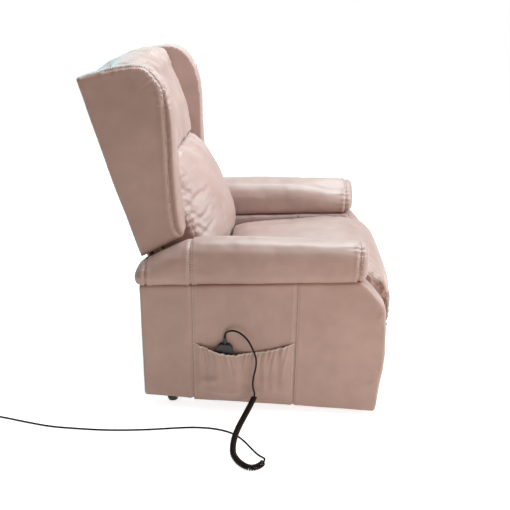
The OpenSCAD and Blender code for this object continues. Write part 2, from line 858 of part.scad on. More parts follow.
module back_hinge_tube()
  color(steel) {
    difference() {
      pin_across(-back_half - 20, back_half + 20, back_hinge, hinge_tube);
      pin_across(-back_half - 21, back_half + 21, back_hinge, stud + 2 * fit);
    }
    side_plate(back_x - lever_half, back_x + lever_half)
      difference() {
        bar_shape(back_hinge, back_pin, hinge_tube);
        disc_at(back_hinge, hinge_tube - 1);
        slot_shape(back_hinge, back_pin, pin + 2, 3, 2.8);
      }
  }

module back_springs()
  color(bright)
    for (x = back_spring_x)
      zigzag(
        x * seat_half / 262, [frame_at(444) - spring_wire / 2, 444],
        [frame_at(back_z(1010) + 14) - spring_wire / 2, back_z(1010) + 14], spring_waves, back_spring_wide
      );

module back_cover()
  color(cloth)
    side_plate(-back_half, back_half)
      polygon([
        [cover_at(440) - 12, 440], [cover_at(440), 440],
        [cover_at(back_z(1044)), back_z(1044)], [cover_at(back_z(1044)) - 12, back_z(1044)]
      ]);

module wing_left() {
  outline = [for (p = wing_outline) back_at(p)];
  color(cloth)
    loft(
      [for (s = wing_steps) station(back_half + s[0] * (wing_out - back_half), inset(outline, s[1]))],
      [back_half, wing_hub[0], wing_hub[1]], [wing_out, wing_hub[0], wing_hub[1]]
    );
}

module wing_right()
  mirror([1, 0, 0]) wing_left();

function lower_ring(s) =
  let (
    fall = back_bulge * (pow(abs(s[0]), 3) * 0.8 + s[0] * s[0] * 0.2),
    drop = pow(abs(s[0]), end_power),
    outline = inset(lower_outline, s[1])
  )
  [
    for (i = [0 : len(outline) - 1])
      let (p = back_at([outline[i][0] + fall * lower_fall[i], outline[i][1] - drop * lower_drop[i]]))
      [s[0] * (seat_half - 2), p[0], p[1]]
  ];

module lower_back_cushion()
  color(cloth)
    loft(
      [for (s = cushion_steps) lower_ring(s)],
      [2 - seat_half, lower_hub[0], lower_hub[1]], [seat_half - 2, lower_hub[0], lower_hub[1]]
    );

function head_ring(s) =
  let (
    fall = pow(abs(s[0]), end_power),
    outline = inset(head_outline, s[1])
  )
  [
    for (i = [0 : len(outline) - 1])
      let (p = back_at([outline[i][0] + fall * head_fall[i], outline[i][1] - fall * head_drop[i]]))
      [s[0] * (seat_half - 2), p[0], p[1]]
  ];

module head_cushion()
  color(cloth)
    loft(
      [for (s = cushion_steps) head_ring(s)],
      [2 - seat_half, head_hub[0], head_hub[1]], [seat_half - 2, head_hub[0], head_hub[1]]
    );

// ---- Leg rest ----

module leg_links()
  color(steel)
    both()
      side_plate(inner_link, inner_link + link_bar)
        difference() {
          union() {
            disc_at(leg_main, 34);
            bar_shape(leg_main, pad_main, leg_link_wide);
          }
          disc_at(pad_main, pin + 2 * fit);
        }

module leg_torque_tube()
  color(steel) {
    pin_across(-inner_link, inner_link, leg_main, cross_tube);
    side_plate(leg_x - lever_half, leg_x + lever_half)
      difference() {
        bar_shape(leg_main, leg_pin, leg_lever_wide);
        disc_at(leg_main, 23);
        slot_shape(leg_main, leg_pin, pin + 2.6, 5.4, 3.6);
      }
  }

module leg_second_links()
  color(steel)
    both()
      side_plate(outer_link, outer_link + link_bar)
        difference() {
          bar_shape(leg_second, pad_second, leg_link_wide);
          disc_at(leg_second, stud + 2 * fit);
          disc_at(pad_second, pin + 2);
        }

module leg_brackets()
  color(steel)
    both() {
      side_plate(bracket_out - 5, bracket_out)
        polygon([
          [board_back, 60], [board_back + 4, 60], [board_back + 4, 120], [board_back - 4, 160], [board_back - 1, 254],
          [board_back - 21, 254], [board_back - 26, 160], [board_back - 7, 120], [board_back - 1, 60]
        ]);
      translate([seat_half - 40, board_back, 60]) cube([bracket_out - 5 - seat_half + 40, 4, 60]);
      pin_across(inner_link - 1, bracket_out - 5, pad_main, pin);
      pin_across(bracket_out, outer_link + link_bar + 1, pad_second, pin);
    }

module leg_board()
  color(timber)
    side_plate(-seat_half, seat_half)
      translate([board_back - board_thick, 48]) square([board_thick, 184]);

function pad_ring(s) =
  let (
    outline = inset(pad_outline, s[1]),
    flat = 1 - pad_end_fall / pad_deep * pow(abs(s[0]), 2.2)
  )
  [for (p = outline) [s[0] * (inner_link - 5), pad_back + p[0] * flat, p[1]]];

module leg_pad()
  color(cloth)
    loft(
      [for (s = pad_steps) pad_ring(s)],
      [5 - inner_link, pad_back - 6, 150], [inner_link - 5, pad_back - 6, 150]
    );

// ---- Handset, standing head down in the pocket ----

module hand_slab(from, to, shrink)
  translate([hand_back - to, 0, 0])
    rotate([90, 0, 90])
      linear_extrude(to - from)
        intersection() {
          bar_shape([hand_y, hand_low + hand_wide / 2], [hand_y, hand_high - hand_wide / 2], hand_wide - 2 * shrink);
          translate([hand_y - hand_wide, hand_low])
            square([2 * hand_wide, hand_high - hand_low - hand_flat - shrink]);
        }

module handset_back()
  color(black)
    difference() {
      hand_slab(0, hand_thick / 2, 0);
      hand_slab(hand_wall, hand_thick / 2 + 1, hand_wall);
    }

module handset_front()
  color(black)
    difference() {
      hand_slab(hand_thick / 2, hand_thick, 0);
      hand_slab(hand_thick / 2 - 1, hand_thick - hand_wall, hand_wall);
      for (z = button_rows, s = [-1, 1])
        pin_across(hand_back - hand_thick - 1, hand_back - hand_thick + 5, [hand_y + s * 10, z], button + 2 * fit);
    }

module one_button(s, row)
  color(bright)
    pin_across(hand_back - hand_thick - 1.5, hand_back - hand_thick + 4, [hand_y + s * 10, button_rows[row]], button);

module button_back_up() one_button(-1, 0);
module button_back_down() one_button(1, 0);
module button_legs_up() one_button(-1, 1);
module button_legs_down() one_button(1, 1);
module button_lift_up() one_button(-1, 2);
module button_lift_down() one_button(1, 2);

module handset_relief()
  color(black)
    translate([hand_back - hand_thick / 2, hand_y, hand_high - hand_flat])
      cylinder(d1 = 13, d2 = 9, h = relief_top - hand_high + hand_flat, $fn = round_sides);

// ---- Cords ----

module handset_lead()
  color(black)
    tube_through(route_of(lead_route, 4, lead / 2), lead, 8, [1, 0, 0]);

module curly_cord() {
  route = route_of(curl_route, 10, curl_reach + curl_wire / 2);
  last = len(route) - 1;
  lengths = [
    for (i = 0, s = 0; i <= last; s = s + (i < last ? norm(route[i + 1] - route[i]) : 0), i = i + 1) s
  ];
  total = lengths[len(lengths) - 1];
  ends = 9;
  steps = curls * 8;
  line = concat(
    [route[0], point_on(route, lengths, curl_wire)],
    [
      for (i = [0 : steps])
        let (
          at = ends + (total - 2 * ends) * i / steps,
          c = point_on(route, lengths, at),
          w = heading_on(route, lengths, at),
          s = cross(w, [0, 0, 1]),
          a = s / norm(s),
          b = cross(a, w),
          grow = min(1, i / 8, (steps - i) / 8)
        )
        c + curl_reach * grow * (cos(i * 45) * a + sin(i * 45) * b)
    ],
    [point_on(route, lengths, total - curl_wire), route[len(route) - 1]]
  );
  echo(str("curly_cord, least gap to itself: ", least_gap(line, 5, curl_wire), " mm"));
  color(black) tube_through(line, curl_wire, 6, [0.02, 0.05, 1]);
}

module floor_lead()
  color(black)
    tube_through(route_of(floor_route, 3, lead / 2), lead, 8, [0, 0, 1]);

module lead_coil() {
  echo(str("lead_coil, least gap to itself: ", least_gap(coil_route, 6, lead), " mm"));
  color(black)
    tube_through(coil_route, lead, 6, [0, 0, 1]);
}

module lead_plug()
  color(black)
    translate(plug_at)
      rotate([0, 90, 0]) {
        cylinder(d1 = 8, d2 = 11, h = 12, $fn = round_sides);
        translate([0, 0, 12]) cylinder(d = 14, h = 26, $fn = round_sides);
        translate([0, 0, 38]) cylinder(d = 12, h = 8, $fn = round_sides);
      }

base_rails();
base_cross_front();
base_cross_rear();
base_feet();
base_brackets();
base_studs();
lift_front_arms();
lift_torque_tube();
lift_rear_arms();
lift_rear_tube();
lift_motor();
lift_motor_rod();
chassis_side_plates();
chassis_cross_tubes();
lift_hangers();
chassis_studs();
leg_bearings();
motor_brackets();
seat_springs();
seat_cushion();
side_panel_left();
side_panel_right();
arm_pad_left();
arm_pad_right();
pocket();
panel_bolts();
control_box();
back_uprights();
back_rails();
back_hinge_tube();
back_springs();
wing_left();
wing_right();
head_cushion();
lower_back_cushion();
back_cover();
back_motor();
back_motor_rod();
leg_links();
leg_torque_tube();
leg_second_links();
leg_brackets();
leg_board();
leg_pad();
leg_motor();
leg_motor_rod();
handset_front();
handset_back();
handset_relief();
button_back_up();
button_back_down();
button_legs_up();
button_legs_down();
button_lift_up();
button_lift_down();
handset_lead();
curly_cord();
floor_lead();
lead_coil();
lead_plug();
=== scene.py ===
import math

import bmesh
import bpy
import numpy as np
from mathutils import Matrix, Vector, noise
from mathutils.bvhtree import BVHTree


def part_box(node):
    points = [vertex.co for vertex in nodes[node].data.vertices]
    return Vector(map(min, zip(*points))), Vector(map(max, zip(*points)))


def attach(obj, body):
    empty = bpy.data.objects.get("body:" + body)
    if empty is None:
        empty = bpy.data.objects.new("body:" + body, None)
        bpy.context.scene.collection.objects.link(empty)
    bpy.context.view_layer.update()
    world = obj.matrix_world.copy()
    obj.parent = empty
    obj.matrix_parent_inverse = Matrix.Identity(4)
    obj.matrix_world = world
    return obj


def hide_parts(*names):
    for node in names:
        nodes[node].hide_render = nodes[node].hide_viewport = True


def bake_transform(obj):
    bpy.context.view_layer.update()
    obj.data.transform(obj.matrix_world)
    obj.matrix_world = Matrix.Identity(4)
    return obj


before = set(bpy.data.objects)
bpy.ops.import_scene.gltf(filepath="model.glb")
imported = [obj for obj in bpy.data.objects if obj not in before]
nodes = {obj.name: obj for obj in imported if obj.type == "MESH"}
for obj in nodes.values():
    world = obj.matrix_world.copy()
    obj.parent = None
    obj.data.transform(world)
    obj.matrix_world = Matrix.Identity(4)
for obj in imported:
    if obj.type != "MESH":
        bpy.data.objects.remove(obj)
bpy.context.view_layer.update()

# ---- Camera, floor and light ----
# The eye is a little above the chair, at its own right side, and the ground is plain and pale.
# Soft lamps stand over the seat, before the chair and across from the eye, and three small ones
# light the crown of the back, the inner arm and the near side.


def placed(name, data):
    """A new object in the scene."""
    o = bpy.data.objects.new(name, data)
    bpy.context.collection.objects.link(o)
    return o


def built(name, bm):
    """A new object made of the bmesh, which is then freed."""
    mesh = bpy.data.meshes.new(name)
    bm.to_mesh(mesh)
    bm.free()
    return placed(name, mesh)


eye_at = Vector((-2.295, -0.122, 1.351))
eye_yaw, eye_pitch, eye_roll = math.radians(2.94), math.radians(22.31), math.radians(0.92)
level = math.cos(eye_pitch)
ahead = Vector((math.cos(eye_yaw) * level, math.sin(eye_yaw) * level, -math.sin(eye_pitch)))
level_right = ahead.cross(Vector((0, 0, 1))).normalized()
level_up = level_right.cross(ahead)
eye_right = math.cos(eye_roll) * level_right + math.sin(eye_roll) * level_up
eye_up = math.cos(eye_roll) * level_up - math.sin(eye_roll) * level_right
camera_data = bpy.data.cameras.new("eye")
camera_data.lens, camera_data.sensor_width, camera_data.clip_end = 47.94, 36, 40
camera = placed("eye", camera_data)
eye_turn = Matrix((eye_right, eye_up, -ahead)).transposed().to_4x4()
camera.matrix_world = Matrix.Translation(eye_at) @ eye_turn
bpy.context.scene.camera = camera
bpy.context.scene.view_settings.view_transform = "Standard"


class Value:
    """A number in a material. Arithmetic on it adds Math nodes."""

    def __init__(self, tree, socket):
        self.tree, self.socket = tree, socket

    def math(self, operation, *others):
        n = self.tree.nodes.new("ShaderNodeMath")
        n.operation = operation
        for socket, value in zip(n.inputs, (self, *others)):
            if isinstance(value, Value):
                self.tree.links.new(value.socket, socket)
            else:
                socket.default_value = value
        return Value(self.tree, n.outputs[0])

    def __add__(self, other):
        return self.math("ADD", other)

    __radd__ = __add__

    def __mul__(self, other):
        return self.math("MULTIPLY", other)

    __rmul__ = __mul__

    def __sub__(self, other):
        return self.math("SUBTRACT", other)

    def __rsub__(self, other):
        return self * -1 + other

    def clipped(self):
        return self.math("MAXIMUM", 0.0).math("MINIMUM", 1.0)


class Finish:
    """A material made of nodes on one Principled shader."""

    def __init__(self, name, **constants):
        self.material = bpy.data.materials.new(name)
        self.material.use_nodes = True
        self.tree = self.material.node_tree
        self.shader = self.tree.nodes["Principled BSDF"]
        self.set(**constants)

    def put(self, socket, value):
        """Links a Value to the socket, or sets it to a number, a vector or an opaque colour."""
        if isinstance(value, Value):
            self.tree.links.new(value.socket, socket)
        elif socket.type == "RGBA":
            socket.default_value = (*value, 1)
        else:
            socket.default_value = value

    def node(self, kind, settings=(), sockets=(), out=0):
        """A node with its settings, such as a ramp's stops, then its sockets. Gives one output."""
        n = self.tree.nodes.new("ShaderNode" + kind)
        for key, value in dict(settings).items():
            if key != "stops":
                setattr(n, key, value)
                continue
            while len(n.color_ramp.elements) < len(value):
                n.color_ramp.elements.new(0.5)
            for element, (place, colour) in zip(n.color_ramp.elements, value):
                element.position, element.color = place, (*colour, 1)
        for key, value in dict(sockets).items():
            self.put(n.inputs[key], value)
        return Value(self.tree, n.outputs[out])

    def mix(self, share, low, high):
        """From one colour to the other, by the colour sockets of a Mix node."""
        return self.node("Mix", {"data_type": "RGBA"}, {0: share, 6: low, 7: high}, 2)

    def set(self, **links):
        for key, value in links.items():
            self.put(self.shader.inputs[key.replace("_", " ")], value)
        return self.material


def white_ground():
    """Pale ground that keeps shadows, and that the eye and shiny things see as white."""
    finish = Finish("pale_ground", Base_Color=(0.84, 0.76, 0.69), Roughness=0.9)
    plain = Value(finish.tree, finish.shader.outputs[0])
    glow = finish.node("Emission", {}, {"Color": (0.96, 0.98, 1.0), "Strength": 0.80})
    glowing = finish.node("AddShader", {}, {0: plain, 1: glow})
    eye_ray = finish.node("LightPath", out="Is Camera Ray")
    gloss_ray = finish.node("LightPath", out="Is Glossy Ray")
    seen = (eye_ray + gloss_ray).clipped()
    either = finish.node("MixShader", {}, {0: seen, 1: plain, 2: glowing})
    finish.put(finish.tree.nodes["Material Output"].inputs["Surface"], either)
    return finish.material


ground_bm = bmesh.new()
bmesh.ops.create_grid(ground_bm, x_segments=1, y_segments=1, size=9)
ground = built("ground", ground_bm)
ground.data.materials.append(white_ground())

world = bpy.data.worlds.new("room")
bpy.context.scene.world = world
world.use_nodes = True
room = world.node_tree
room_light = room.nodes["Background"]
seen_light = room.nodes.new("ShaderNodeBackground")
for light, colour, strength in (
    (room_light, (1.0, 0.91, 0.87, 1), 0.31),
    (seen_light, (1, 1, 1, 1), 1.0),
):
    light.inputs["Color"].default_value = colour
    light.inputs["Strength"].default_value = strength
ray = room.nodes.new("ShaderNodeLightPath")
either_light = room.nodes.new("ShaderNodeMixShader")
for source, socket in (
    (ray.outputs["Is Camera Ray"], either_light.inputs[0]),
    (room_light.outputs[0], either_light.inputs[1]),
    (seen_light.outputs[0], either_light.inputs[2]),
    (either_light.outputs[0], room.nodes["World Output"].inputs[0]),
):
    room.links.new(source, socket)

for name, at, aim, size, power, colour in (
    ("over_seat", (0.1, -0.4, 3.0), (0, 0, 0.6), 1.5, 88, (0.77, 0.95, 1.0)),
    ("across", (3.0, 0.5, 1.9), (0, 0.2, 0.9), 2.4, 24, (0.66, 0.92, 1.0)),
    ("crown", (0.9, 1.2, 2.1), (0, 0.4, 1.1), 0.6, 11, (0.12, 0.84, 1.0)),
    ("before", (-0.2, -2.9, 1.7), (0, 0.1, 0.7), 1.6, 51, (0.87, 0.95, 1.0)),
    ("inner", (-0.3, -1.2, 1.75), (0.3, 0.1, 0.75), 0.4, 11, (0.42, 0.86, 1.0)),
    ("by_eye", (-1.7, -0.95, 0.35), (-0.4, -0.1, 0.2), 0.9, 6, (1.0, 0.82, 0.66)),
):
    lamp = bpy.data.lights.new(name, "AREA")
    lamp.size, lamp.energy, lamp.color = size, power, colour
    way = Vector(aim) - Vector(at)
    lamp_turn = way.to_track_quat("-Z", "Y").to_matrix().to_4x4()
    placed(name, lamp).matrix_world = Matrix.Translation(at) @ lamp_turn

# ---- Leads ----
# A plain round lead leaves the handset, a springy curled length takes up the slack of the lifting
# chair, and a second plain lead runs off over the floor to its plug. All are black flexible
# plastic.

mm_per_m = 1000


def eased(points, steps):
    """A smooth curve through the points."""
    p = [Vector(q) for q in points]
    line = []
    for i in range(len(p) - 1):
        a = p[i - 1] if i else 2 * p[0] - p[1]
        b, c = p[i], p[i + 1]
        d = p[i + 2] if i + 2 < len(p) else 2 * p[-1] - p[-2]
        bend = 2 * a - 5 * b + 4 * c - d
        twist = 3 * b - a - 3 * c + d
        for k in range(steps):
            t = k / steps
            line.append(0.5 * (2 * b + (c - a) * t + bend * t * t + twist * t**3))
    return line + [p[-1]]


def lead_line(points, steps, low):
    """The route in metres, with its two end steps straight and nowhere lower than low."""
    inner = [Vector((q.x, q.y, max(q.z, low))) for q in eased(points[1:-1], steps)]
    return [q / mm_per_m for q in (Vector(points[0]), *inner, Vector(points[-1]))]


def length_of(line):
    return sum((b - a).length for a, b in zip(line, line[1:]))


def walk(line):
    """A line's length, and what gives its place and its way on at a length along it."""
    line = [Vector(p) for p in line]
    marks = np.concatenate([[0], np.cumsum([(b - a).length for a, b in zip(line, line[1:])])])
    places = np.array(line)

    def at(s):
        return Vector([np.interp(s, marks, places[:, k]) for k in range(3)])

    def way(s):
        return (at(s + 0.004) - at(s - 0.004)).normalized()

    return marks[-1], at, way


def wire(name, line, thick, finish, body=None):
    """A round wire of faces about a line."""
    data = bpy.data.curves.new(name, "CURVE")
    data.dimensions = "3D"
    data.bevel_depth, data.bevel_resolution, data.use_fill_caps = thick / 2, 3, True
    spline = data.splines.new("POLY")
    spline.points.add(len(line) - 1)
    for point, place in zip(spline.points, line):
        point.co = (*place, 1)
    drawn = bpy.data.objects.new(name + "_drawn", data)
    mesh = bpy.data.meshes.new_from_object(drawn)
    bpy.data.objects.remove(drawn)
    mesh.polygons.foreach_set("use_smooth", [len(face.vertices) == 4 for face in mesh.polygons])
    mesh.materials.clear()
    mesh.materials.append(finish)
    o = placed(name, mesh)
    if body:
        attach(o, body)
    return o


def cord_black():
    finish = Finish("cord_black", Specular_IOR_Level=0.12)
    place = finish.node("TexCoord", out="Object")
    cloud = finish.node("TexNoise", {}, {"Vector": place, "Scale": 60, "Detail": 3})
    return finish.set(
        Base_Color=finish.mix(cloud, (0.008, 0.003, 0.002), (0.018, 0.008, 0.006)),
        Roughness=0.36 + 0.16 * cloud,
    )


cord_finish = cord_black()
lead_thick = 0.006
lead_low = mm_per_m * lead_thick / 2
curl_thick, curl_reach, curl_turns, curl_steps = 0.0054, 0.0072, 64, 14
curl_low = mm_per_m * (curl_reach + curl_thick / 2)

handset_route = [
    (-392.3, 68, 282), (-392.3, 68, 289), (-396, 60, 303), (-402, 40, 311), (-408, 16, 305),
    (-414, -8, 284), (-418, -24, 254), (-418, -34, 222), (-416, -34, 190), (-416, -28, 158),
    (-416, -25, 128), (-418, -27, 108), (-420, -31, 96), (-421, -31, 88),
]
curl_route = [
    (-421, -31, 88), (-422, -31, 80), (-433, -24, 69), (-447, -16, 57), (-477, 0, 37),
    (-509, 13, 24), (-549, 22, 16), (-588, 24, 10), (-622, 20, 8), (-648, 8, 7.6),
    (-667, -8, 7.6), (-680, -28, 7.6), (-679, -48, 7.6), (-667, -65, 7.6), (-657, -71, 7.6),
    (-650, -73.5, 7.6),
]
floor_route = [
    (-650, -73.5, 7.6), (-645.3, -75.2, 7.6), (-638.5, -76, 7), (-632.4, -74.2, 6),
    (-627.6, -70.4, 5), (-617, -58, 4), (-602, -45, 3.4), (-583, -31, 3), (-552, -8, 3),
    (-527, 16, 3), (-507, 50, 3), (-495, 100, 3), (-494, 160, 3), (-502, 220, 3), (-514, 290, 3),
    (-524, 370, 3), (-529, 450, 3), (-528, 540, 3), (-523, 620, 3), (-508, 700, 3),
    (-490, 780, 3), (-479, 845, 3), (-476, 868, 3), (-476, 875, 3),
]

handset_line = lead_line(handset_route, 6, lead_low)
handset_lead = wire("lead_handset", handset_line, lead_thick, cord_finish)
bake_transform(handset_lead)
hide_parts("handset_lead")
tuple(handset_line[0])
length_of(handset_line)


def curled(route):
    """The line of the curled cord about its route, tight at first and more open at its far end."""
    total, at, way = walk(lead_line(route, 12, curl_low))
    plain_end, opening, growing = 0.005, 0.09, 8
    line = [at(0), at(plain_end / 2)]
    last = curl_turns * curl_steps
    for i in range(last + 1):
        share = i / last
        s = plain_end + (total - 2 * plain_end) * (share - opening * (share - share**4))
        side = way(s).cross(Vector((0, 0, 1))).normalized()
        rise = side.cross(way(s))
        grow = min(1, i / growing, (last - i) / growing)
        grow *= grow * (3 - 2 * grow)
        turn = 2 * math.pi * i / curl_steps
        line.append(at(s) + curl_reach * grow * (math.cos(turn) * side + math.sin(turn) * rise))
    return line + [at(total - plain_end / 2), at(total)]


curl_line = curled(curl_route)
curl = wire("lead_curled", curl_line, curl_thick, cord_finish)
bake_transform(curl)
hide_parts("curly_cord")
tuple(curl_line[0])
length_of(curl_line)

coil_turns, coil_radius, coil_rise, coil_x, coil_y, coil_steps = 2.25, 36, 7, -440, 880, 36
coil_line = []
for step in range(int(coil_steps * coil_turns) + 1):
    turn = math.radians(180 - 360 * step / coil_steps)
    x, y = coil_x + coil_radius * math.cos(turn), coil_y + coil_radius * math.sin(turn)
    coil_line.append((x, y, lead_low + coil_rise * step / coil_steps))
coil_top = lead_low + coil_rise * coil_turns
for along, drop in ((10, 0.2), (20, -0.4), (32, -4), (46, -9), (56, -11.25), (66, -11.25)):
    coil_line.append((coil_x + along, coil_y + coil_radius, coil_top + drop))
floor_line = lead_line(floor_route, 5, lead_low) + [Vector(p) / mm_per_m for p in coil_line]
floor_lead = wire("lead_floor", floor_line, lead_thick, cord_finish, "base")
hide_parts("floor_lead", "lead_coil")
tuple(floor_line[0])
length_of(floor_line)


def finished(node_names, material):
    """The built solids that stay as they are get their finish."""
    for name in node_names:
        o = nodes[name]
        for slot in o.material_slots:
            slot.link = "OBJECT"
            slot.material = material
        if not o.material_slots:
            o.data.materials.append(material)


def moulded_black():
    """Matt moulded plastic with a fine spark-eroded texture."""
    finish = Finish("moulded_black")
    place = finish.node("TexCoord", out="Object")
    cloud = finish.node("TexNoise", {}, {"Vector": place, "Scale": 30, "Detail": 4})
    pits = finish.node("TexNoise", {}, {"Vector": place, "Scale": 1800, "Detail": 2})
    return finish.set(
        Base_Color=finish.mix(cloud, (0.008, 0.007, 0.008), (0.020, 0.018, 0.020)),
        Roughness=0.44 + 0.14 * cloud,
        Normal=finish.node("Bump", {}, {"Strength": 0.25, "Distance": 0.0002, "Height": pits}),
    )


black_finish = moulded_black()
finished(
    [
        "lead_plug", "base_feet", "control_box", "lift_motor", "back_motor", "leg_motor",
        "handset_relief",
    ],
    black_finish,
)

# ---- Side panels ----
# Each side is a board box wrapped in thin wadding and leatherette. The cover is sewn from three
# fields with double topstitched seams, and is pulled round the front edge and under the bottom.


def leather(name, low, high):
    """Satin leatherette with soft clouds, pores and fine creases."""
    finish = Finish(name, Specular_IOR_Level=0.6)
    place = finish.node("TexCoord", out="Object")
    cloud = finish.node(
        "TexNoise", {}, {"Vector": place, "Scale": 5.5, "Detail": 4, "Roughness": 0.55}
    )
    patch = finish.node(
        "TexNoise", {}, {"Vector": place, "Scale": 19, "Detail": 3, "Roughness": 0.5}
    )
    pores = finish.node(
        "TexVoronoi", {"feature": "DISTANCE_TO_EDGE"}, {"Vector": place, "Scale": 640}
    )
    fine = finish.node("TexNoise", {}, {"Vector": place, "Scale": 1500, "Detail": 2})
    creased = finish.node(
        "TexNoise", {},
        {"Vector": place, "Scale": 52, "Detail": 5, "Roughness": 0.62, "Distortion": 0.5},
    )
    tone = (0.6 * cloud + 0.4 * patch - 0.5) * 2.4 + 0.5
    height = 0.45 * pores + 0.2 * fine + 0.85 * creased
    return finish.set(
        Base_Color=finish.mix(tone.clipped(), low, high),
        Roughness=0.37 + 0.16 * patch - 0.05 * pores,
        Normal=finish.node("Bump", {}, {"Strength": 0.32, "Distance": 0.00024, "Height": height}),
    )


hide = leather("taupe_leatherette", (0.375, 0.228, 0.191), (0.490, 0.309, 0.268))


def sewing_thread(name, low, high):
    """Twisted polyester thread."""
    finish = Finish(name, Specular_IOR_Level=0.3)
    place = finish.node("TexCoord", out="Object")
    twist = finish.node("TexNoise", {}, {"Vector": place, "Scale": 900, "Detail": 2})
    return finish.set(Base_Color=finish.mix(twist, low, high), Roughness=0.55 + 0.2 * twist)


pale_thread = sewing_thread("pale_thread", (0.62, 0.49, 0.42), (0.75, 0.63, 0.56))


def baked(o):
    """The object with its modifiers made part of its mesh."""
    bpy.context.view_layer.update()
    shaped = o.evaluated_get(bpy.context.evaluated_depsgraph_get())
    mesh = bpy.data.meshes.new_from_object(shaped)
    o.modifiers.clear()
    o.data = mesh
    return o


def cover(name, node, voxel, rounds):
    """A copy of a built solid, remade of small even faces with its edges rounded off."""
    bm = bmesh.new()
    bm.from_mesh(nodes[node].data)
    bmesh.ops.remove_doubles(bm, verts=bm.verts, dist=0.00005)
    o = built("cover_" + name, bm)
    even = o.modifiers.new("even", "REMESH")
    even.mode, even.voxel_size, even.adaptivity = "VOXEL", voxel, 0
    baked(o)
    soft = o.modifiers.new("soft", "SMOOTH")
    soft.factor, soft.iterations = 0.5, rounds
    return baked(o)


def finer(o):
    more = o.modifiers.new("finer", "SUBSURF")
    more.levels = more.render_levels = 1
    return baked(o)


def places_of(o):
    at = np.empty(len(o.data.vertices) * 3)
    o.data.vertices.foreach_get("co", at)
    return at.reshape(-1, 3)


def facings_of(o):
    way = np.empty(len(o.data.vertices) * 3)
    o.data.vertex_normals.foreach_get("vector", way)
    return way.reshape(-1, 3)


def moved_to(o, at):
    o.data.vertices.foreach_set("co", at.ravel())
    o.data.update()
    return o


def cut_ring(o, y):
    """The closed line in which the upright plane across the chair at y cuts the piece."""
    at = places_of(o)
    ends = np.empty(len(o.data.edges) * 2, dtype=np.int32)
    o.data.edges.foreach_get("vertices", ends)
    ends = ends.reshape(-1, 2)
    off = at[:, 1] - y
    a, b = off[ends[:, 0]], off[ends[:, 1]]
    hit = (a > 0) != (b > 0)
    share = (a[hit] / (a[hit] - b[hit]))[:, None]
    p = at[ends[hit, 0]] * (1 - share) + at[ends[hit, 1]] * share
    middle = (p.min(0) + p.max(0)) / 2
    order = np.argsort(np.arctan2(middle[2] - p[:, 2], p[:, 0] - middle[0]))
    p = p[order][::3]
    return np.vstack([p, p[:1]])


def near_line(at, facing, line):
    """How far each place is across a line, with its side as the sign, and how far along it."""
    line = np.array(line, float)
    best, across = np.full((2, len(at)), np.inf)
    along = np.zeros(len(at))
    gone = 0.0
    for a, b in zip(line[:-1], line[1:]):
        way = b - a
        long = np.linalg.norm(way)
        if long < 1e-7:
            continue
        way = way / long
        t = np.clip((at - a) @ way, 0, long)
        gap = at - a - t[:, None] * way
        far = np.linalg.norm(gap, axis=1)
        nearer = far < best
        side = np.sign(np.einsum("ij,ij->i", np.cross(way, facing), gap))
        side[side == 0] = 1
        best[nearer] = far[nearer]
        across[nearer] = (far * side)[nearer]
        along[nearer] = (gone + t)[nearer]
        gone += long
    return across, along, gone


def drift(at, size, seed):
    """Slow soft noise from -1 to 1 over the places, the same every time."""
    shift = Vector((seed * 3.17, seed * 1.31, -seed * 2.23))
    return np.array([noise.noise(Vector(p) / size + shift) for p in at])


def bell(x):
    return np.exp(-x * x)


def ease_in(x):
    x = np.clip(x, 0, 1)
    return x * x * (3 - 2 * x)


def above(x, start, over):
    """From 0 at the start to 1 a little above it, without a kink."""
    return ease_in((x - start) / over)


def below(x, start, over):
    return ease_in((start - x) / over)


def seam_pull(across, wide, deep):
    """A seam draws the wadding in, with a sharp joint in its floor, and it swells beside it."""
    joint = -0.0022 * bell(across / 0.0014)
    swell = 0.35 * deep * bell((np.abs(across) - 2.4 * wide) / (1.3 * wide))
    return joint - deep * bell(across / wide) + swell


def gathers(across, along, pitch, high, reach, seed):
    """Small folds that leave a seam and fade out, of uneven length and place."""
    turns = along / pitch
    wander = 0.9 * np.sin(turns * 1.7 + seed) + 0.6 * np.sin(turns * 0.63 + 2.1 * seed)
    wave = np.cos(2 * np.pi * along / pitch + wander)
    strength = 0.65 + 0.35 * np.sin(turns * 0.9 + 3.3 * seed)
    length = reach * (0.75 + 0.35 * np.sin(turns * 1.3 + 1.7 * seed))
    out = np.abs(across)
    return high * strength * wave * np.exp(-out / length) * ease_in(out / 0.005 + 0.2)


def sewn(at, facing, line, wide, deep, pitch, high, reach, seed):
    """A seam with its gathers."""
    across, along, _ = near_line(at, facing, line)
    return seam_pull(across, wide, deep) + gathers(across, along, pitch, high, reach, seed)


def sided(side, points):
    """Places that are given for the left side, 1, on the side asked for."""
    return [(side * x, y, z) for x, y, z in points]


def folds(at, facing, side, wide, table):
    """Ridges, and creases where high is negative, that fade at their ends, on the surface."""
    rise = np.zeros(len(at))
    for start, end, high in table:
        steps = np.linspace(*sided(side, (start, end)), 9)
        line = [at[np.argmin(((at - p) ** 2).sum(1))] for p in steps]
        across, along, long = near_line(at, facing, line)
        fade = ease_in(along / (0.3 * long)) * ease_in((long - along) / (0.3 * long))
        rise += high * bell(across / wide) * fade
    return rise


def upholstered(o, body, finish):
    """Smooth faces in their finish, on their body."""
    o.data.materials.clear()
    o.data.materials.append(finish)
    o.data.polygons.foreach_set("use_smooth", [True] * len(o.data.polygons))
    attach(o, body)


def dressed(o, body, node):
    """The cover of a padded piece, in place of its built solid."""
    upholstered(o, body, hide)
    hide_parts(node)


stitch_pitch, stitch_proud = 0.0076, 0.00012
stitch_size = Matrix.Diagonal((0.0032, 0.0013, 0.0010, 1))


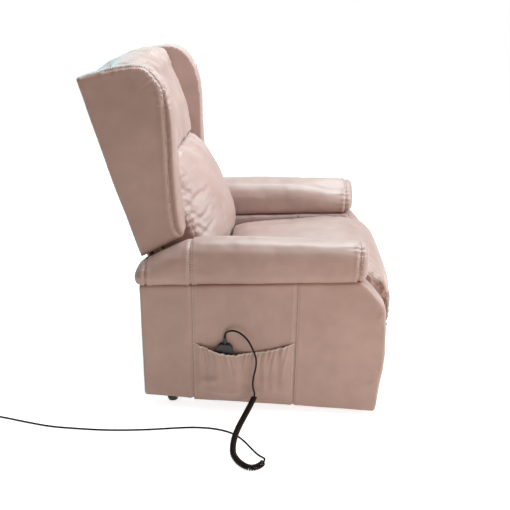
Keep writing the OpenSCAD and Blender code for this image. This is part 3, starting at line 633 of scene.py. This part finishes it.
def stitched(name, o, body, lines, offsets=(-0.0056, 0.0056), thread=pale_thread):
    """Rows of raised stitches beside each line, laid on the piece's surface."""
    tree = BVHTree.FromObject(o, bpy.context.evaluated_depsgraph_get())
    bm = bmesh.new()
    for line in lines:
        long, at, way = walk(line)
        for k in range(int(long / stitch_pitch)):
            s = (k + 0.5) * stitch_pitch
            middle, facing, _, _ = tree.find_nearest(at(s))
            out = facing.cross(way(s)).normalized()
            for offset in offsets:
                spot, up, _, _ = tree.find_nearest(middle + offset * out)
                along = (way(s) - way(s).dot(up) * up).normalized()
                turn = Matrix((along, up.cross(along), up)).transposed().to_4x4()
                lay = Matrix.Translation(spot + stitch_proud * up) @ turn @ stitch_size
                bmesh.ops.create_icosphere(bm, subdivisions=1, radius=1, matrix=lay)
    upholstered(built(name, bm), body, thread)


def side_panel(node, side):
    o = finer(cover(node, node, voxel=0.0056, rounds=3))
    at, facing = places_of(o), facings_of(o)
    seams = [cut_ring(o, y) for y in (0.176, -0.157)]
    rise = np.full(len(at), 0.0016)
    for k, seam in enumerate(seams):
        rise += sewn(
            at, facing, seam, wide=0.0050, deep=0.0022,
            pitch=0.034, high=0.0006, reach=0.016, seed=k + side,
        )
    outer = above(facing[:, 0] * side, 0.5, over=0.4)
    middle_field = np.cos(np.pi * np.clip((at[:, 1] - 0.0095) / 0.333, -0.5, 0.5)) ** 0.5
    rise += outer * 0.0022 * middle_field
    rise += 0.0015 * drift(at, 0.13, 2 + side) + 0.0006 * drift(at, 0.045, 5 + side)
    fore = below(at[:, 1], -0.37, over=0.07)
    rise += fore * 0.0017 * drift(at * (1, 1, 0.6), 0.05, 8 + side)
    rise += folds(at, facing, side, 0.010, (
        ((0.378, -0.440, 0.395), (0.381, -0.4075, 0.3555), 0.0022),
        ((0.378, -0.442, 0.360), (0.381, -0.4160, 0.3130), -0.0018),
        ((0.378, -0.435, 0.150), (0.381, -0.3975, 0.1130), 0.0020),
    ))
    moved_to(o, at + rise[:, None] * facing)
    dressed(o, "chassis", node)
    outside = [
        sorted([p for p in seam if p[0] * side > 0.345], key=lambda p: p[2]) for seam in seams
    ]
    stitched("stitches_" + node, o, "chassis", outside)


side_panel("side_panel_right", -1)
side_panel("side_panel_left", 1)

# ---- Arm pads ----
# Each arm ends in a rolled foam pad. Its cover is gathered into the rear end, seamed over the
# panel's rear seam, and pleated round the front end.


def arm_pad(node, side):
    o = finer(cover(node, node, voxel=0.0058, rounds=14))
    at = places_of(o)
    inner = below(np.abs(at[:, 0]), 0.350, over=0.05) * above(at[:, 2], 0.50, over=0.08)
    at[:, 2] -= inner * (0.007 + 0.017 * below(at[:, 1], -0.15, over=0.17))
    facing = facings_of(moved_to(o, at))
    over, front, rear = [cut_ring(o, y) for y in (0.176, -0.343, 0.318)]
    rise = np.full(len(at), 0.0036)
    rise += sewn(
        at, facing, over, wide=0.0050, deep=0.0026,
        pitch=0.026, high=0.0011, reach=0.020, seed=1.3 + side,
    )
    rise += sewn(
        at, facing, front, wide=0.0046, deep=0.0040,
        pitch=0.019, high=0.0024, reach=0.017, seed=2.9 + side,
    )
    rise += sewn(
        at, facing, rear, wide=0.0046, deep=0.0034,
        pitch=0.019, high=0.0018, reach=0.014, seed=0.7 + side,
    )
    rise += 0.0024 * drift(at * (1, 0.5, 1), 0.06, 3 + side) + 0.0009 * drift(at, 0.03, 6 + side)
    panel_top = 0.448 + (0.341 - at[:, 1]) * 0.055
    tuck = bell((at[:, 2] - panel_top - 0.012) / 0.011) * above(facing[:, 0] * side, 0, over=0.5)
    rise -= 0.0024 * tuck
    moved_to(o, at + rise[:, None] * facing)
    dressed(o, "chassis", node)
    stitched("stitches_" + node, o, "chassis", [over, front])


arm_pad("arm_pad_right", -1)
arm_pad("arm_pad_left", 1)

# ---- Seat cushion ----
# One foam block on the seat springs. Its cover is crowned on top, rolls over the front edge, and
# is drawn in to a sewn corner on each side, from which short folds spread.

dull_thread = sewing_thread("dull_thread", (0.36, 0.23, 0.19), (0.46, 0.31, 0.26))


def stuffed(o, held, push, spare, cap):
    """The cover as cloth with its filling pressing from inside. Held places don't move."""
    start = places_of(o)
    group = o.vertex_groups.new(name="held")
    group.add([int(i) for i in np.nonzero(held)[0]], 1.0, "REPLACE")
    cloth = o.modifiers.new("filling", "CLOTH")
    settings = cloth.settings
    settings.use_pressure = True
    settings.uniform_pressure_force = push
    settings.shrink_min = -spare
    settings.vertex_group_mass = "held"
    settings.effector_weights.gravity = 0
    settings.quality = 4
    last_frame = 20
    cloth.point_cache.frame_end = last_frame
    for frame_number in range(1, last_frame + 1):
        bpy.context.scene.frame_set(frame_number)
    shaped = o.evaluated_get(bpy.context.evaluated_depsgraph_get())
    end = np.empty(len(start) * 3)
    shaped.data.vertices.foreach_get("co", end)
    move = end.reshape(-1, 3) - start
    o.modifiers.clear()
    o.vertex_groups.clear()
    bpy.context.scene.frame_set(1)
    far = np.linalg.norm(move, axis=1)[:, None] + 1e-9
    moved_to(o, start + move / far * cap * np.tanh(far / cap))


def seat():
    o = cover("seat", "seat_cushion", voxel=0.0062, rounds=8)
    at, facing = places_of(o), facings_of(o)
    under = (at[:, 2] < 0.36) & (at[:, 1] > -0.43)
    flanks = (np.abs(at[:, 0]) > 0.250) & (at[:, 1] > -0.33)
    rear = at[:, 1] > 0.08
    moved_to(o, at - 0.004 * facing)
    stuffed(o, under | flanks | rear, push=4, spare=0.02, cap=0.010)
    finer(o)
    at, facing = places_of(o), facings_of(o)
    rise = 0.0022 * drift(at, 0.11, 4) + 0.0010 * drift(at, 0.04, 9)
    corner_dip = bell((at[:, 1] + 0.45) / 0.05)
    rise -= 0.012 * above(np.abs(at[:, 0]), 0.250, over=0.008) * corner_dip
    corner = [
        (0.2605, -0.478, 0.300), (0.2605, -0.474, 0.372), (0.2605, -0.464, 0.400),
        (0.2595, -0.448, 0.428), (0.2590, -0.425, 0.452), (0.2590, -0.396, 0.468),
        (0.2595, -0.360, 0.478), (0.2600, -0.300, 0.480), (0.2600, -0.200, 0.476),
    ]
    seams = []
    for side in (-1, 1):
        seam = sided(side, corner)
        across, along, _ = near_line(at, facing, seam)
        rise += seam_pull(across, wide=0.006, deep=0.0044)
        bunched = bell((along - 0.11) / 0.10)
        rise += bunched * gathers(
            across, along, pitch=0.024, high=0.0034, reach=0.026, seed=5 + side
        )
        seams.append(seam)
        rise += folds(at, facing, side, 0.008, (
            ((0.259, -0.462, 0.404), (0.215, -0.476, 0.350), 0.00150),
            ((0.258, -0.455, 0.418), (0.190, -0.470, 0.392), -0.00138),
            ((0.256, -0.440, 0.438), (0.185, -0.452, 0.430), 0.00132),
            ((0.255, -0.420, 0.456), (0.190, -0.425, 0.462), -0.00108),
            ((0.255, -0.395, 0.470), (0.200, -0.385, 0.484), 0.00060),
        ))
    brow = [(x, -0.470, 0.384) for x in np.linspace(-0.26, 0.26, 40)]
    rise += seam_pull(near_line(at, facing, brow)[0], wide=0.0055, deep=0.0014)
    moved_to(o, at + rise[:, None] * facing)
    dressed(o, "chassis", "seat_cushion")
    stitched("stitches_seat", o, "chassis", seams + [brow], thread=dull_thread)


seat()

# ---- Pocket ----
# A single cloth panel sewn over the right side at its bottom and sides. Elastic in its hem gathers
# the top edge, so that folds fan down from it, and it bags round the handset.

pocket_front, pocket_rear, pocket_low, panel_face = -0.155, 0.172, 0.036, -0.382
cloth_thick, hem_thick, sewn_in = 0.0013, 0.0056, 0.004


def pocket_hem(y):
    """The height of the sagging top edge."""
    return 0.222 + 0.034 * (abs(y - 0.025) / 0.16) ** 1.7


def slanted_fold(y, up, slope, up_at, y_at, narrow, y_middle, long):
    """A broad fold that runs aslant over the cloth."""
    across = (up - up_at - slope * (y - y_at)) / narrow
    return 0.0068 * math.exp(-(across**2)) * math.exp(-(((y - y_middle) / long) ** 2))


def pocket_out(y, up):
    """How far the cloth stands off the panel at a share of its height."""
    edge = min(1, (pocket_rear - y) / 0.026, (y - pocket_front) / 0.026)
    edge = edge * edge * (3 - 2 * edge)
    foot = min(1, up / 0.24)
    bulge = math.exp(-(((y - 0.068) / 0.052) ** 4))
    slack = 0.007 + 0.0175 * bulge + 0.0015 * up * math.cos(math.radians(12000 * y))
    phase = 2 * math.pi * (y - 0.04 * (up - 1) * math.copysign(1, y - 0.01)) / 0.0165
    pleat = 0.5 + 0.5 * math.cos(phase + 1.4 * math.sin(37 * y) + 0.8 * math.sin(91 * y + 1))
    reach = 0.13 + 0.15 * (0.5 + 0.5 * math.sin(143 * y + 0.7))
    gather = 0.0040 * pleat * math.exp(-(((1 - up) / reach) ** 1.4))
    sag = slanted_fold(
        y, up, slope=2.2, up_at=0.42, y_at=0.01, narrow=0.09, y_middle=-0.06, long=0.07
    )
    sweep = slanted_fold(
        y, up, slope=-2.0, up_at=0.5, y_at=0.08, narrow=0.08, y_middle=0.12, long=0.05
    )
    return edge * foot * (slack + gather + sag + sweep) + 0.0012


pocket_bm = bmesh.new()
bmesh.ops.create_grid(pocket_bm, x_segments=150, y_segments=70, size=0.5)
for vert in pocket_bm.verts:
    across, up = vert.co.x + 0.5, vert.co.y + 0.5
    y = pocket_front + (pocket_rear - pocket_front) * across
    z = pocket_low + (pocket_hem(y) - pocket_low) * up
    vert.co = (panel_face - pocket_out(y, up), y, z)
bmesh.ops.recalc_face_normals(pocket_bm, faces=pocket_bm.faces)
pocket_cloth = built("pocket_cloth", pocket_bm)
if pocket_cloth.data.polygons[0].normal.x > 0:
    pocket_cloth.data.flip_normals()
wall = pocket_cloth.modifiers.new("wall", "SOLIDIFY")
wall.thickness, wall.offset = cloth_thick, 1
upholstered(baked(pocket_cloth), "chassis", hide)
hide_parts("pocket")
hem_line = [
    Vector((panel_face - pocket_out(y, 1) - 0.0006, y, pocket_hem(y) + 0.0004))
    for y in np.linspace(pocket_rear, pocket_front, 150)
]
# The hem is the pocket's own leatherette in a lighter copy, a painted highlight along its rounded
# top edge.
hem_hide_painted_highlight = leather("hem_leatherette_painted_highlight", (0.52, 0.40, 0.33), (0.64, 0.51, 0.44))
hem = wire("pocket_hem", hem_line, hem_thick, hem_hide_painted_highlight, "chassis")
row_rear, row_front, row_face = pocket_rear - sewn_in, pocket_front + sewn_in, panel_face - sewn_in
row_low, row_high = 0.045, 0.24
edge_lines = [
    [(row_face, row_rear, z) for z in np.linspace(row_high, row_low, 40)],
    [(row_face, y, row_low - 0.002) for y in np.linspace(row_rear - 0.002, row_front + 0.002, 60)],
    [(row_face, row_front, z) for z in np.linspace(row_low, row_high, 40)],
]
stitched("stitches_pocket", pocket_cloth, "chassis", edge_lines, offsets=(0.0,))

# ---- Back: lower cushion ----
# The cushion bulges towards the sitter. Its front panel wraps round both sides to a double
# stitched seam, into which it is gathered. Its top is bowed, and so is the foot of the head
# cushion over it.


def bow(x):
    """How far the bowed joint between the back cushions has turned down, from 0 to 1."""
    return (np.abs(x) / 0.262) ** 2.3


def side_seam(side, x, points):
    """A seam at one distance from the chair's middle, its places given in millimetres."""
    return sided(side, [(x, y / mm_per_m, z / mm_per_m) for y, z in points])


def lower_cushion():
    o = cover("lower_back", "lower_back_cushion", voxel=0.006, rounds=8)
    at, facing = places_of(o), facings_of(o)
    behind = facing[:, 1] > 0.55
    flanks = np.abs(at[:, 0]) > 0.256
    moved_to(o, at - 0.005 * facing)
    stuffed(o, behind | flanks, push=4, spare=0.016, cap=0.013)
    finer(o)
    at, facing = places_of(o), facings_of(o)
    upper_front = above(at[:, 2], 0.70, over=0.12) * below(at[:, 1], 0.36, over=0.08)
    at[:, 2] -= (0.012 - 0.001 * bow(at[:, 0])) * upper_front
    rise = 0.0026 * drift(at * (1, 1, 0.7), 0.10, 14) + 0.0012 * drift(at, 0.035, 19)
    seams = []
    for side in (-1, 1):
        seam = side_seam(side, 0.2595, [
            (268, 800), (250, 790), (238, 772), (233, 756), (229, 735), (225, 717), (212, 680),
            (198, 645), (186, 610), (174, 575), (160, 530),
        ])
        rise += sewn(
            at, facing, seam, wide=0.006, deep=0.0036,
            pitch=0.027, high=0.0030, reach=0.028, seed=7 + side,
        )
        seams.append(seam)
        rise += folds(at, facing, side, 0.008, (
            ((0.258, 0.240, 0.765), (0.215, 0.180, 0.755), 0.001584),
            ((0.258, 0.230, 0.745), (0.225, 0.152, 0.700), -0.001656),
            ((0.258, 0.224, 0.715), (0.222, 0.140, 0.660), 0.001872),
            ((0.258, 0.205, 0.665), (0.226, 0.125, 0.615), -0.001728),
            ((0.258, 0.195, 0.640), (0.224, 0.110, 0.580), 0.001872),
            ((0.258, 0.180, 0.600), (0.228, 0.105, 0.545), 0.001440),
        ))
    spots = np.linspace(-0.255, 0.255, 60)
    top = [(x, 0.2285 + 0.040 * bow(x), 0.8425 - 0.064 * bow(x)) for x in spots]
    rise += sewn(
        at, facing, top, wide=0.006, deep=0.0028, pitch=0.030, high=0.0026, reach=0.030, seed=3.4
    )
    moved_to(o, at + rise[:, None] * facing)
    dressed(o, "back", "lower_back_cushion")
    stitched("stitches_lower_back", o, "back", seams)


lower_cushion()

# ---- Back: head cushion ----
# A softer fibre-filled cushion between the wings. Its cover is longer than its filling, so it lies
# in loose folds that run down from the top and up from the seam over the lower cushion.


def head_rest():
    o = cover("head", "head_cushion", voxel=0.0058, rounds=8)
    at, facing = places_of(o), facings_of(o)
    behind = (facing[:, 1] > 0.6) & (at[:, 2] < 1.03)
    flanks = np.abs(at[:, 0]) > 0.257
    foot = at[:, 2] < 0.878 - 0.058 * bow(at[:, 0])
    moved_to(o, at - 0.006 * facing)
    stuffed(o, behind | flanks | foot, push=5, spare=0.06, cap=0.010)
    finer(o)
    at, facing = places_of(o), facings_of(o)
    bowed = bow(at[:, 0])
    lower = below(at[:, 2] + 0.05 * bowed, 0.96, over=0.08)
    at[:, 2] -= (0.028 - 0.001 * bowed) * lower * below(at[:, 1], 0.34, over=0.06)
    rise = 0.0032 * drift(at * (1.6, 0.7, 0.7), 0.075, 24) + 0.0016 * drift(at, 0.035, 29)
    crown = above(at[:, 2], 1.0, over=0.07) * above(facing[:, 2], -0.1, over=0.4)
    rise += crown * (1 - 0.5 * bowed) * (0.018 * above(at[:, 1], 0.34, over=0.08) - 0.010)
    spots = np.linspace(-0.255, 0.255, 60)
    joint = [(x, 0.223 + 0.042 * bow(x), 0.856 - 0.056 * bow(x)) for x in spots]
    rise += sewn(
        at, facing, joint, wide=0.006, deep=0.0024, pitch=0.040, high=0.0010, reach=0.030, seed=4.4
    )
    crest = [(x, 0.352, 1.126 - 0.020 * bow(x)) for x in spots]
    across, along, _ = near_line(at, facing, crest)
    rise += gathers(across, along, pitch=0.034, high=0.0036, reach=0.034, seed=6.1)
    for side in (-1, 1):
        seam = side_seam(side, 0.2585, [
            (279, 843), (295, 895), (313, 955), (326, 992), (334, 1030), (337, 1070), (342, 1098),
            (378, 1103), (415, 1090),
        ])
        rise += sewn(
            at, facing, seam, wide=0.006, deep=0.0034,
            pitch=0.026, high=0.0036, reach=0.030, seed=9 + side,
        )
    moved_to(o, at + rise[:, None] * facing)
    dressed(o, "back", "head_cushion")


head_rest()

# ---- Back: wings ----
# Each wing is a padded board. Its outer cover meets the boxed front border in a double stitched
# seam that runs over the rounded top corner, where the cover is puckered.


def wing(node, side):
    o = finer(cover(node, node, voxel=0.0056, rounds=3))
    at, facing = places_of(o), facings_of(o)
    seam = side_seam(side, 0.3255, [
        (420, 1094), (380, 1104), (341, 1109), (322, 1110), (304, 1106), (292, 1098), (282, 1087),
        (270, 1072), (260, 1058), (253, 1040), (249, 1010), (247, 970), (245, 920), (243, 869),
        (243, 799), (241, 756), (239, 714), (236, 673), (232, 640), (226, 618), (218, 604),
    ])
    across, along, _ = near_line(at, facing, seam)
    rise = 0.0016 + seam_pull(across, wide=0.0060, deep=0.0036)
    rise += gathers(across, along, pitch=0.026, high=0.0010, reach=0.018, seed=11 + side)
    puckered = bell((along - 0.19) / 0.05)
    rise += puckered * gathers(
        across, along, pitch=0.017, high=0.0040, reach=0.022, seed=13 + side
    )
    rise += 0.0024 * drift(at, 0.16, 31 + side) + 0.0009 * drift(at, 0.05, 34 + side)
    rise += folds(at, facing, side, 0.0042, (
        ((0.318, 0.292, 1.108), (0.292, 0.279, 1.090), -0.0062),
        ((0.322, 0.250, 1.062), (0.292, 0.232, 1.040), -0.0062),
    ))
    outer = above(facing[:, 0] * side, 0.6, over=0.3)
    rise += 0.0020 * outer * bell((at[:, 2] - 0.85) / 0.22)
    moved_to(o, at + rise[:, None] * facing)
    dressed(o, "back", node)
    stitched("stitches_" + node, o, "back", [seam], thread=dull_thread)


wing("wing_right", -1)
wing("wing_left", 1)

# ---- Back: outside cover ----
# A thin wadded board closes the back between the wings. Its cover is stapled behind it, and a cord
# of the same leatherette is piped all round its edge.


def outside_back():
    o = finer(cover("outside_back", "back_cover", voxel=0.0056, rounds=3))
    at, facing = places_of(o), facings_of(o)
    rise = 0.0016 * drift(at, 0.14, 41) + 0.0007 * drift(at, 0.05, 44)
    low, high = at[:, 2].min(), at[:, 2].max()
    puff = np.clip(1 - (at[:, 0] / 0.262) ** 2, 0, 1)
    puff *= np.sin(np.pi * (at[:, 2] - low) / (high - low))
    rise += 0.004 * above(facing[:, 1], 0, over=0.6) * puff
    moved_to(o, at + rise[:, None] * facing)
    dressed(o, "back", "back_cover")
    inset, lean = 0.010, 0.297
    edge = []
    for a, b in (((-1, 0), (-1, 1)), ((-1, 1), (1, 1)), ((1, 1), (1, 0)), ((1, 0), (-1, 0))):
        for t in np.linspace(0, 1, 40)[:-1]:
            across, up = a[0] + (b[0] - a[0]) * t, a[1] + (b[1] - a[1]) * t
            z = low + inset + (high - low - 2 * inset) * up
            edge.append(Vector((0.2535 * across, 0.3398 + lean * (z - 0.517), z)))
    edge.append(edge[0])
    wire("piping_outside_back", edge, 0.006, hide, "back")


outside_back()

# ---- Leg rest pad ----
# A thin foam pad on the leg rest board, under a cover that is stapled behind the board. Two
# channels are sewn across it, through the foam.


def leg_rest_pad():
    o = cover("leg_pad", "leg_pad", voxel=0.0058, rounds=8)
    at, facing = places_of(o), facings_of(o)
    behind = facing[:, 1] > 0.5
    channels = []
    for z in (0.115, 0.180):
        channel = []
        for x in np.linspace(-0.276, 0.276, 48):
            off = np.abs(at[:, 0] - x) + np.abs(at[:, 2] - z) + 9 * (facing[:, 1] > 0)
            channel.append((x, at[np.argmin(off), 1], z))
        channels.append(channel)
    sewn_down = np.zeros(len(at), bool)
    for channel in channels:
        sewn_down |= np.abs(near_line(at, facing, channel)[0]) < 0.004
    moved_to(o, at - (0.003 + 0.004 * sewn_down)[:, None] * facing)
    stuffed(o, behind | sewn_down, push=4, spare=0.03, cap=0.008)
    finer(o)
    at, facing = places_of(o), facings_of(o)
    rise = 0.0014 * drift(at, 0.08, 51) + 0.0008 * drift(at, 0.03, 54)
    for k, channel in enumerate(channels):
        rise += sewn(
            at, facing, channel, wide=0.006, deep=0.0034,
            pitch=0.030, high=0.0012, reach=0.020, seed=17 + k,
        )
    moved_to(o, at + rise[:, None] * facing)
    dressed(o, "leg_rest", "leg_pad")
    stitched("stitches_leg_pad", o, "leg_rest", channels, offsets=(0.0,))


leg_rest_pad()

# ---- Steelwork ----
# The base, lift arms, chassis and leg rest links are cut and welded plate and tube, powder coated
# in dark grey. Studs, bolts, actuator rods and the sprung wires are bright zinc plated steel.


def powder_coat():
    finish = Finish("dark_powder_coat")
    place = finish.node("TexCoord", out="Object")
    peel = finish.node(
        "TexNoise", {}, {"Vector": place, "Scale": 420, "Detail": 2, "Roughness": 0.45}
    )
    cloud = finish.node("TexNoise", {}, {"Vector": place, "Scale": 11, "Detail": 4})
    rub = finish.node(
        "TexNoise", {}, {"Vector": place, "Scale": 70, "Detail": 6, "Roughness": 0.7}
    )
    worn = ((rub - 0.63) * 7).clipped()
    colour = finish.mix(cloud, (0.035, 0.036, 0.040), (0.060, 0.062, 0.067))
    return finish.set(
        Base_Color=finish.mix(0.35 * worn, colour, (0.14, 0.14, 0.145)),
        Roughness=0.42 + 0.14 * cloud + 0.12 * worn,
        Normal=finish.node("Bump", {}, {"Strength": 0.22, "Distance": 0.0002, "Height": peel}),
    )


def zinc_plate():
    finish = Finish("bright_zinc", Metallic=1.0)
    place = finish.node("TexCoord", out="Object")
    spangle = finish.node("TexVoronoi", {"feature": "F1"}, {"Vector": place, "Scale": 240})
    cloud = finish.node(
        "TexNoise", {}, {"Vector": place, "Scale": 26, "Detail": 5, "Roughness": 0.6}
    )
    drawn = finish.node("TexNoise", {}, {"Vector": place, "Scale": 900, "Detail": 2})
    share = 0.7 * cloud + 0.3 * spangle
    return finish.set(
        Base_Color=finish.mix(share, (0.42, 0.43, 0.44), (0.68, 0.69, 0.71)),
        Roughness=0.26 + 0.2 * cloud,
        Normal=finish.node("Bump", {}, {"Strength": 0.18, "Distance": 0.0001, "Height": drawn}),
    )


finished(
    [
        "base_rails", "base_cross_front", "base_cross_rear", "base_brackets", "lift_front_arms",
        "lift_torque_tube", "lift_rear_arms", "lift_rear_tube", "chassis_side_plates",
        "chassis_cross_tubes", "lift_hangers", "leg_bearings", "motor_brackets", "leg_links",
        "leg_torque_tube", "leg_second_links", "leg_brackets", "back_hinge_tube",
    ],
    powder_coat(),
)
finished(
    [
        "base_studs", "chassis_studs", "panel_bolts", "lift_motor_rod", "back_motor_rod",
        "leg_motor_rod", "seat_springs", "back_springs",
    ],
    zinc_plate(),
)

# ---- Timber ----
# The uprights and rails of the back frame are planed beech, glued and screwed, and the leg rest
# board is beech plywood.


def beech():
    finish = Finish("planed_beech", Specular_IOR_Level=0.35)
    place = finish.node("TexCoord", out="Object")
    drawn = finish.node("VectorMath", {"operation": "MULTIPLY"}, {0: place, 1: (34, 34, 3.2)})
    grain = finish.node(
        "TexNoise", {},
        {"Vector": drawn, "Scale": 1.0, "Detail": 6, "Roughness": 0.62, "Distortion": 0.5},
    )
    rings = (grain * 9).math("FRACT")
    long = finish.node("VectorMath", {"operation": "MULTIPLY"}, {0: place, 1: (900, 900, 90)})
    flecks = finish.node("TexNoise", {}, {"Vector": long, "Scale": 1.0, "Detail": 2})
    shade = (0.55 * grain + 0.2 * rings + 0.35 * ((flecks - 0.5) * 2).clipped()).clipped()
    height = grain + 0.3 * flecks
    stops = (0.15, (0.56, 0.38, 0.22)), (0.5, (0.48, 0.31, 0.17)), (0.85, (0.34, 0.20, 0.10))
    return finish.set(
        Base_Color=finish.node("ValToRGB", {"stops": stops}, {0: shade}),
        Roughness=0.5 + 0.18 * grain,
        Normal=finish.node("Bump", {}, {"Strength": 0.3, "Distance": 0.0003, "Height": height}),
    )


finished(["back_uprights", "back_rails", "leg_board"], beech())

# ---- Handset keys ----
# The handset is two moulded shells with six push buttons of grey silicone. Each button carries a
# small raised triangle that points the way its part of the chair moves.


def key_rubber():
    finish = Finish("grey_silicone", Specular_IOR_Level=0.4)
    place = finish.node("TexCoord", out="Object")
    cloud = finish.node("TexNoise", {}, {"Vector": place, "Scale": 120, "Detail": 3})
    skin = finish.node("TexNoise", {}, {"Vector": place, "Scale": 2600, "Detail": 1})
    return finish.set(
        Base_Color=finish.mix(cloud, (0.30, 0.31, 0.32), (0.40, 0.41, 0.42)),
        Roughness=0.5 + 0.12 * cloud,
        Normal=finish.node("Bump", {}, {"Strength": 0.15, "Distance": 0.0001, "Height": skin}),
    )


finished(["handset_front", "handset_back"], black_finish)
key_finish = key_rubber()
mark_proud = 0.0002
for part in ("back", "legs", "lift"):
    for way, turned in (("up", 180), ("down", 0)):
        key = part + "_" + way
        finished(["button_" + key], key_finish)
        low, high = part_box("button_" + key)
        middle = (low + high) / 2
        spot = Matrix.Translation((low.x - mark_proud, middle.y, middle.z))
        upright = Matrix.Rotation(math.radians(-90), 4, "Y")
        bm = bmesh.new()
        bmesh.ops.create_cone(
            bm, cap_ends=True, cap_tris=False, segments=3,
            radius1=0.0021, radius2=0.0019, depth=0.0005,
            matrix=spot @ upright @ Matrix.Rotation(math.radians(turned), 4, "Z"),
        )
        mark = built("mark_" + key, bm)
        mark.data.materials.append(black_finish)
        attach(mark, "key_" + key)
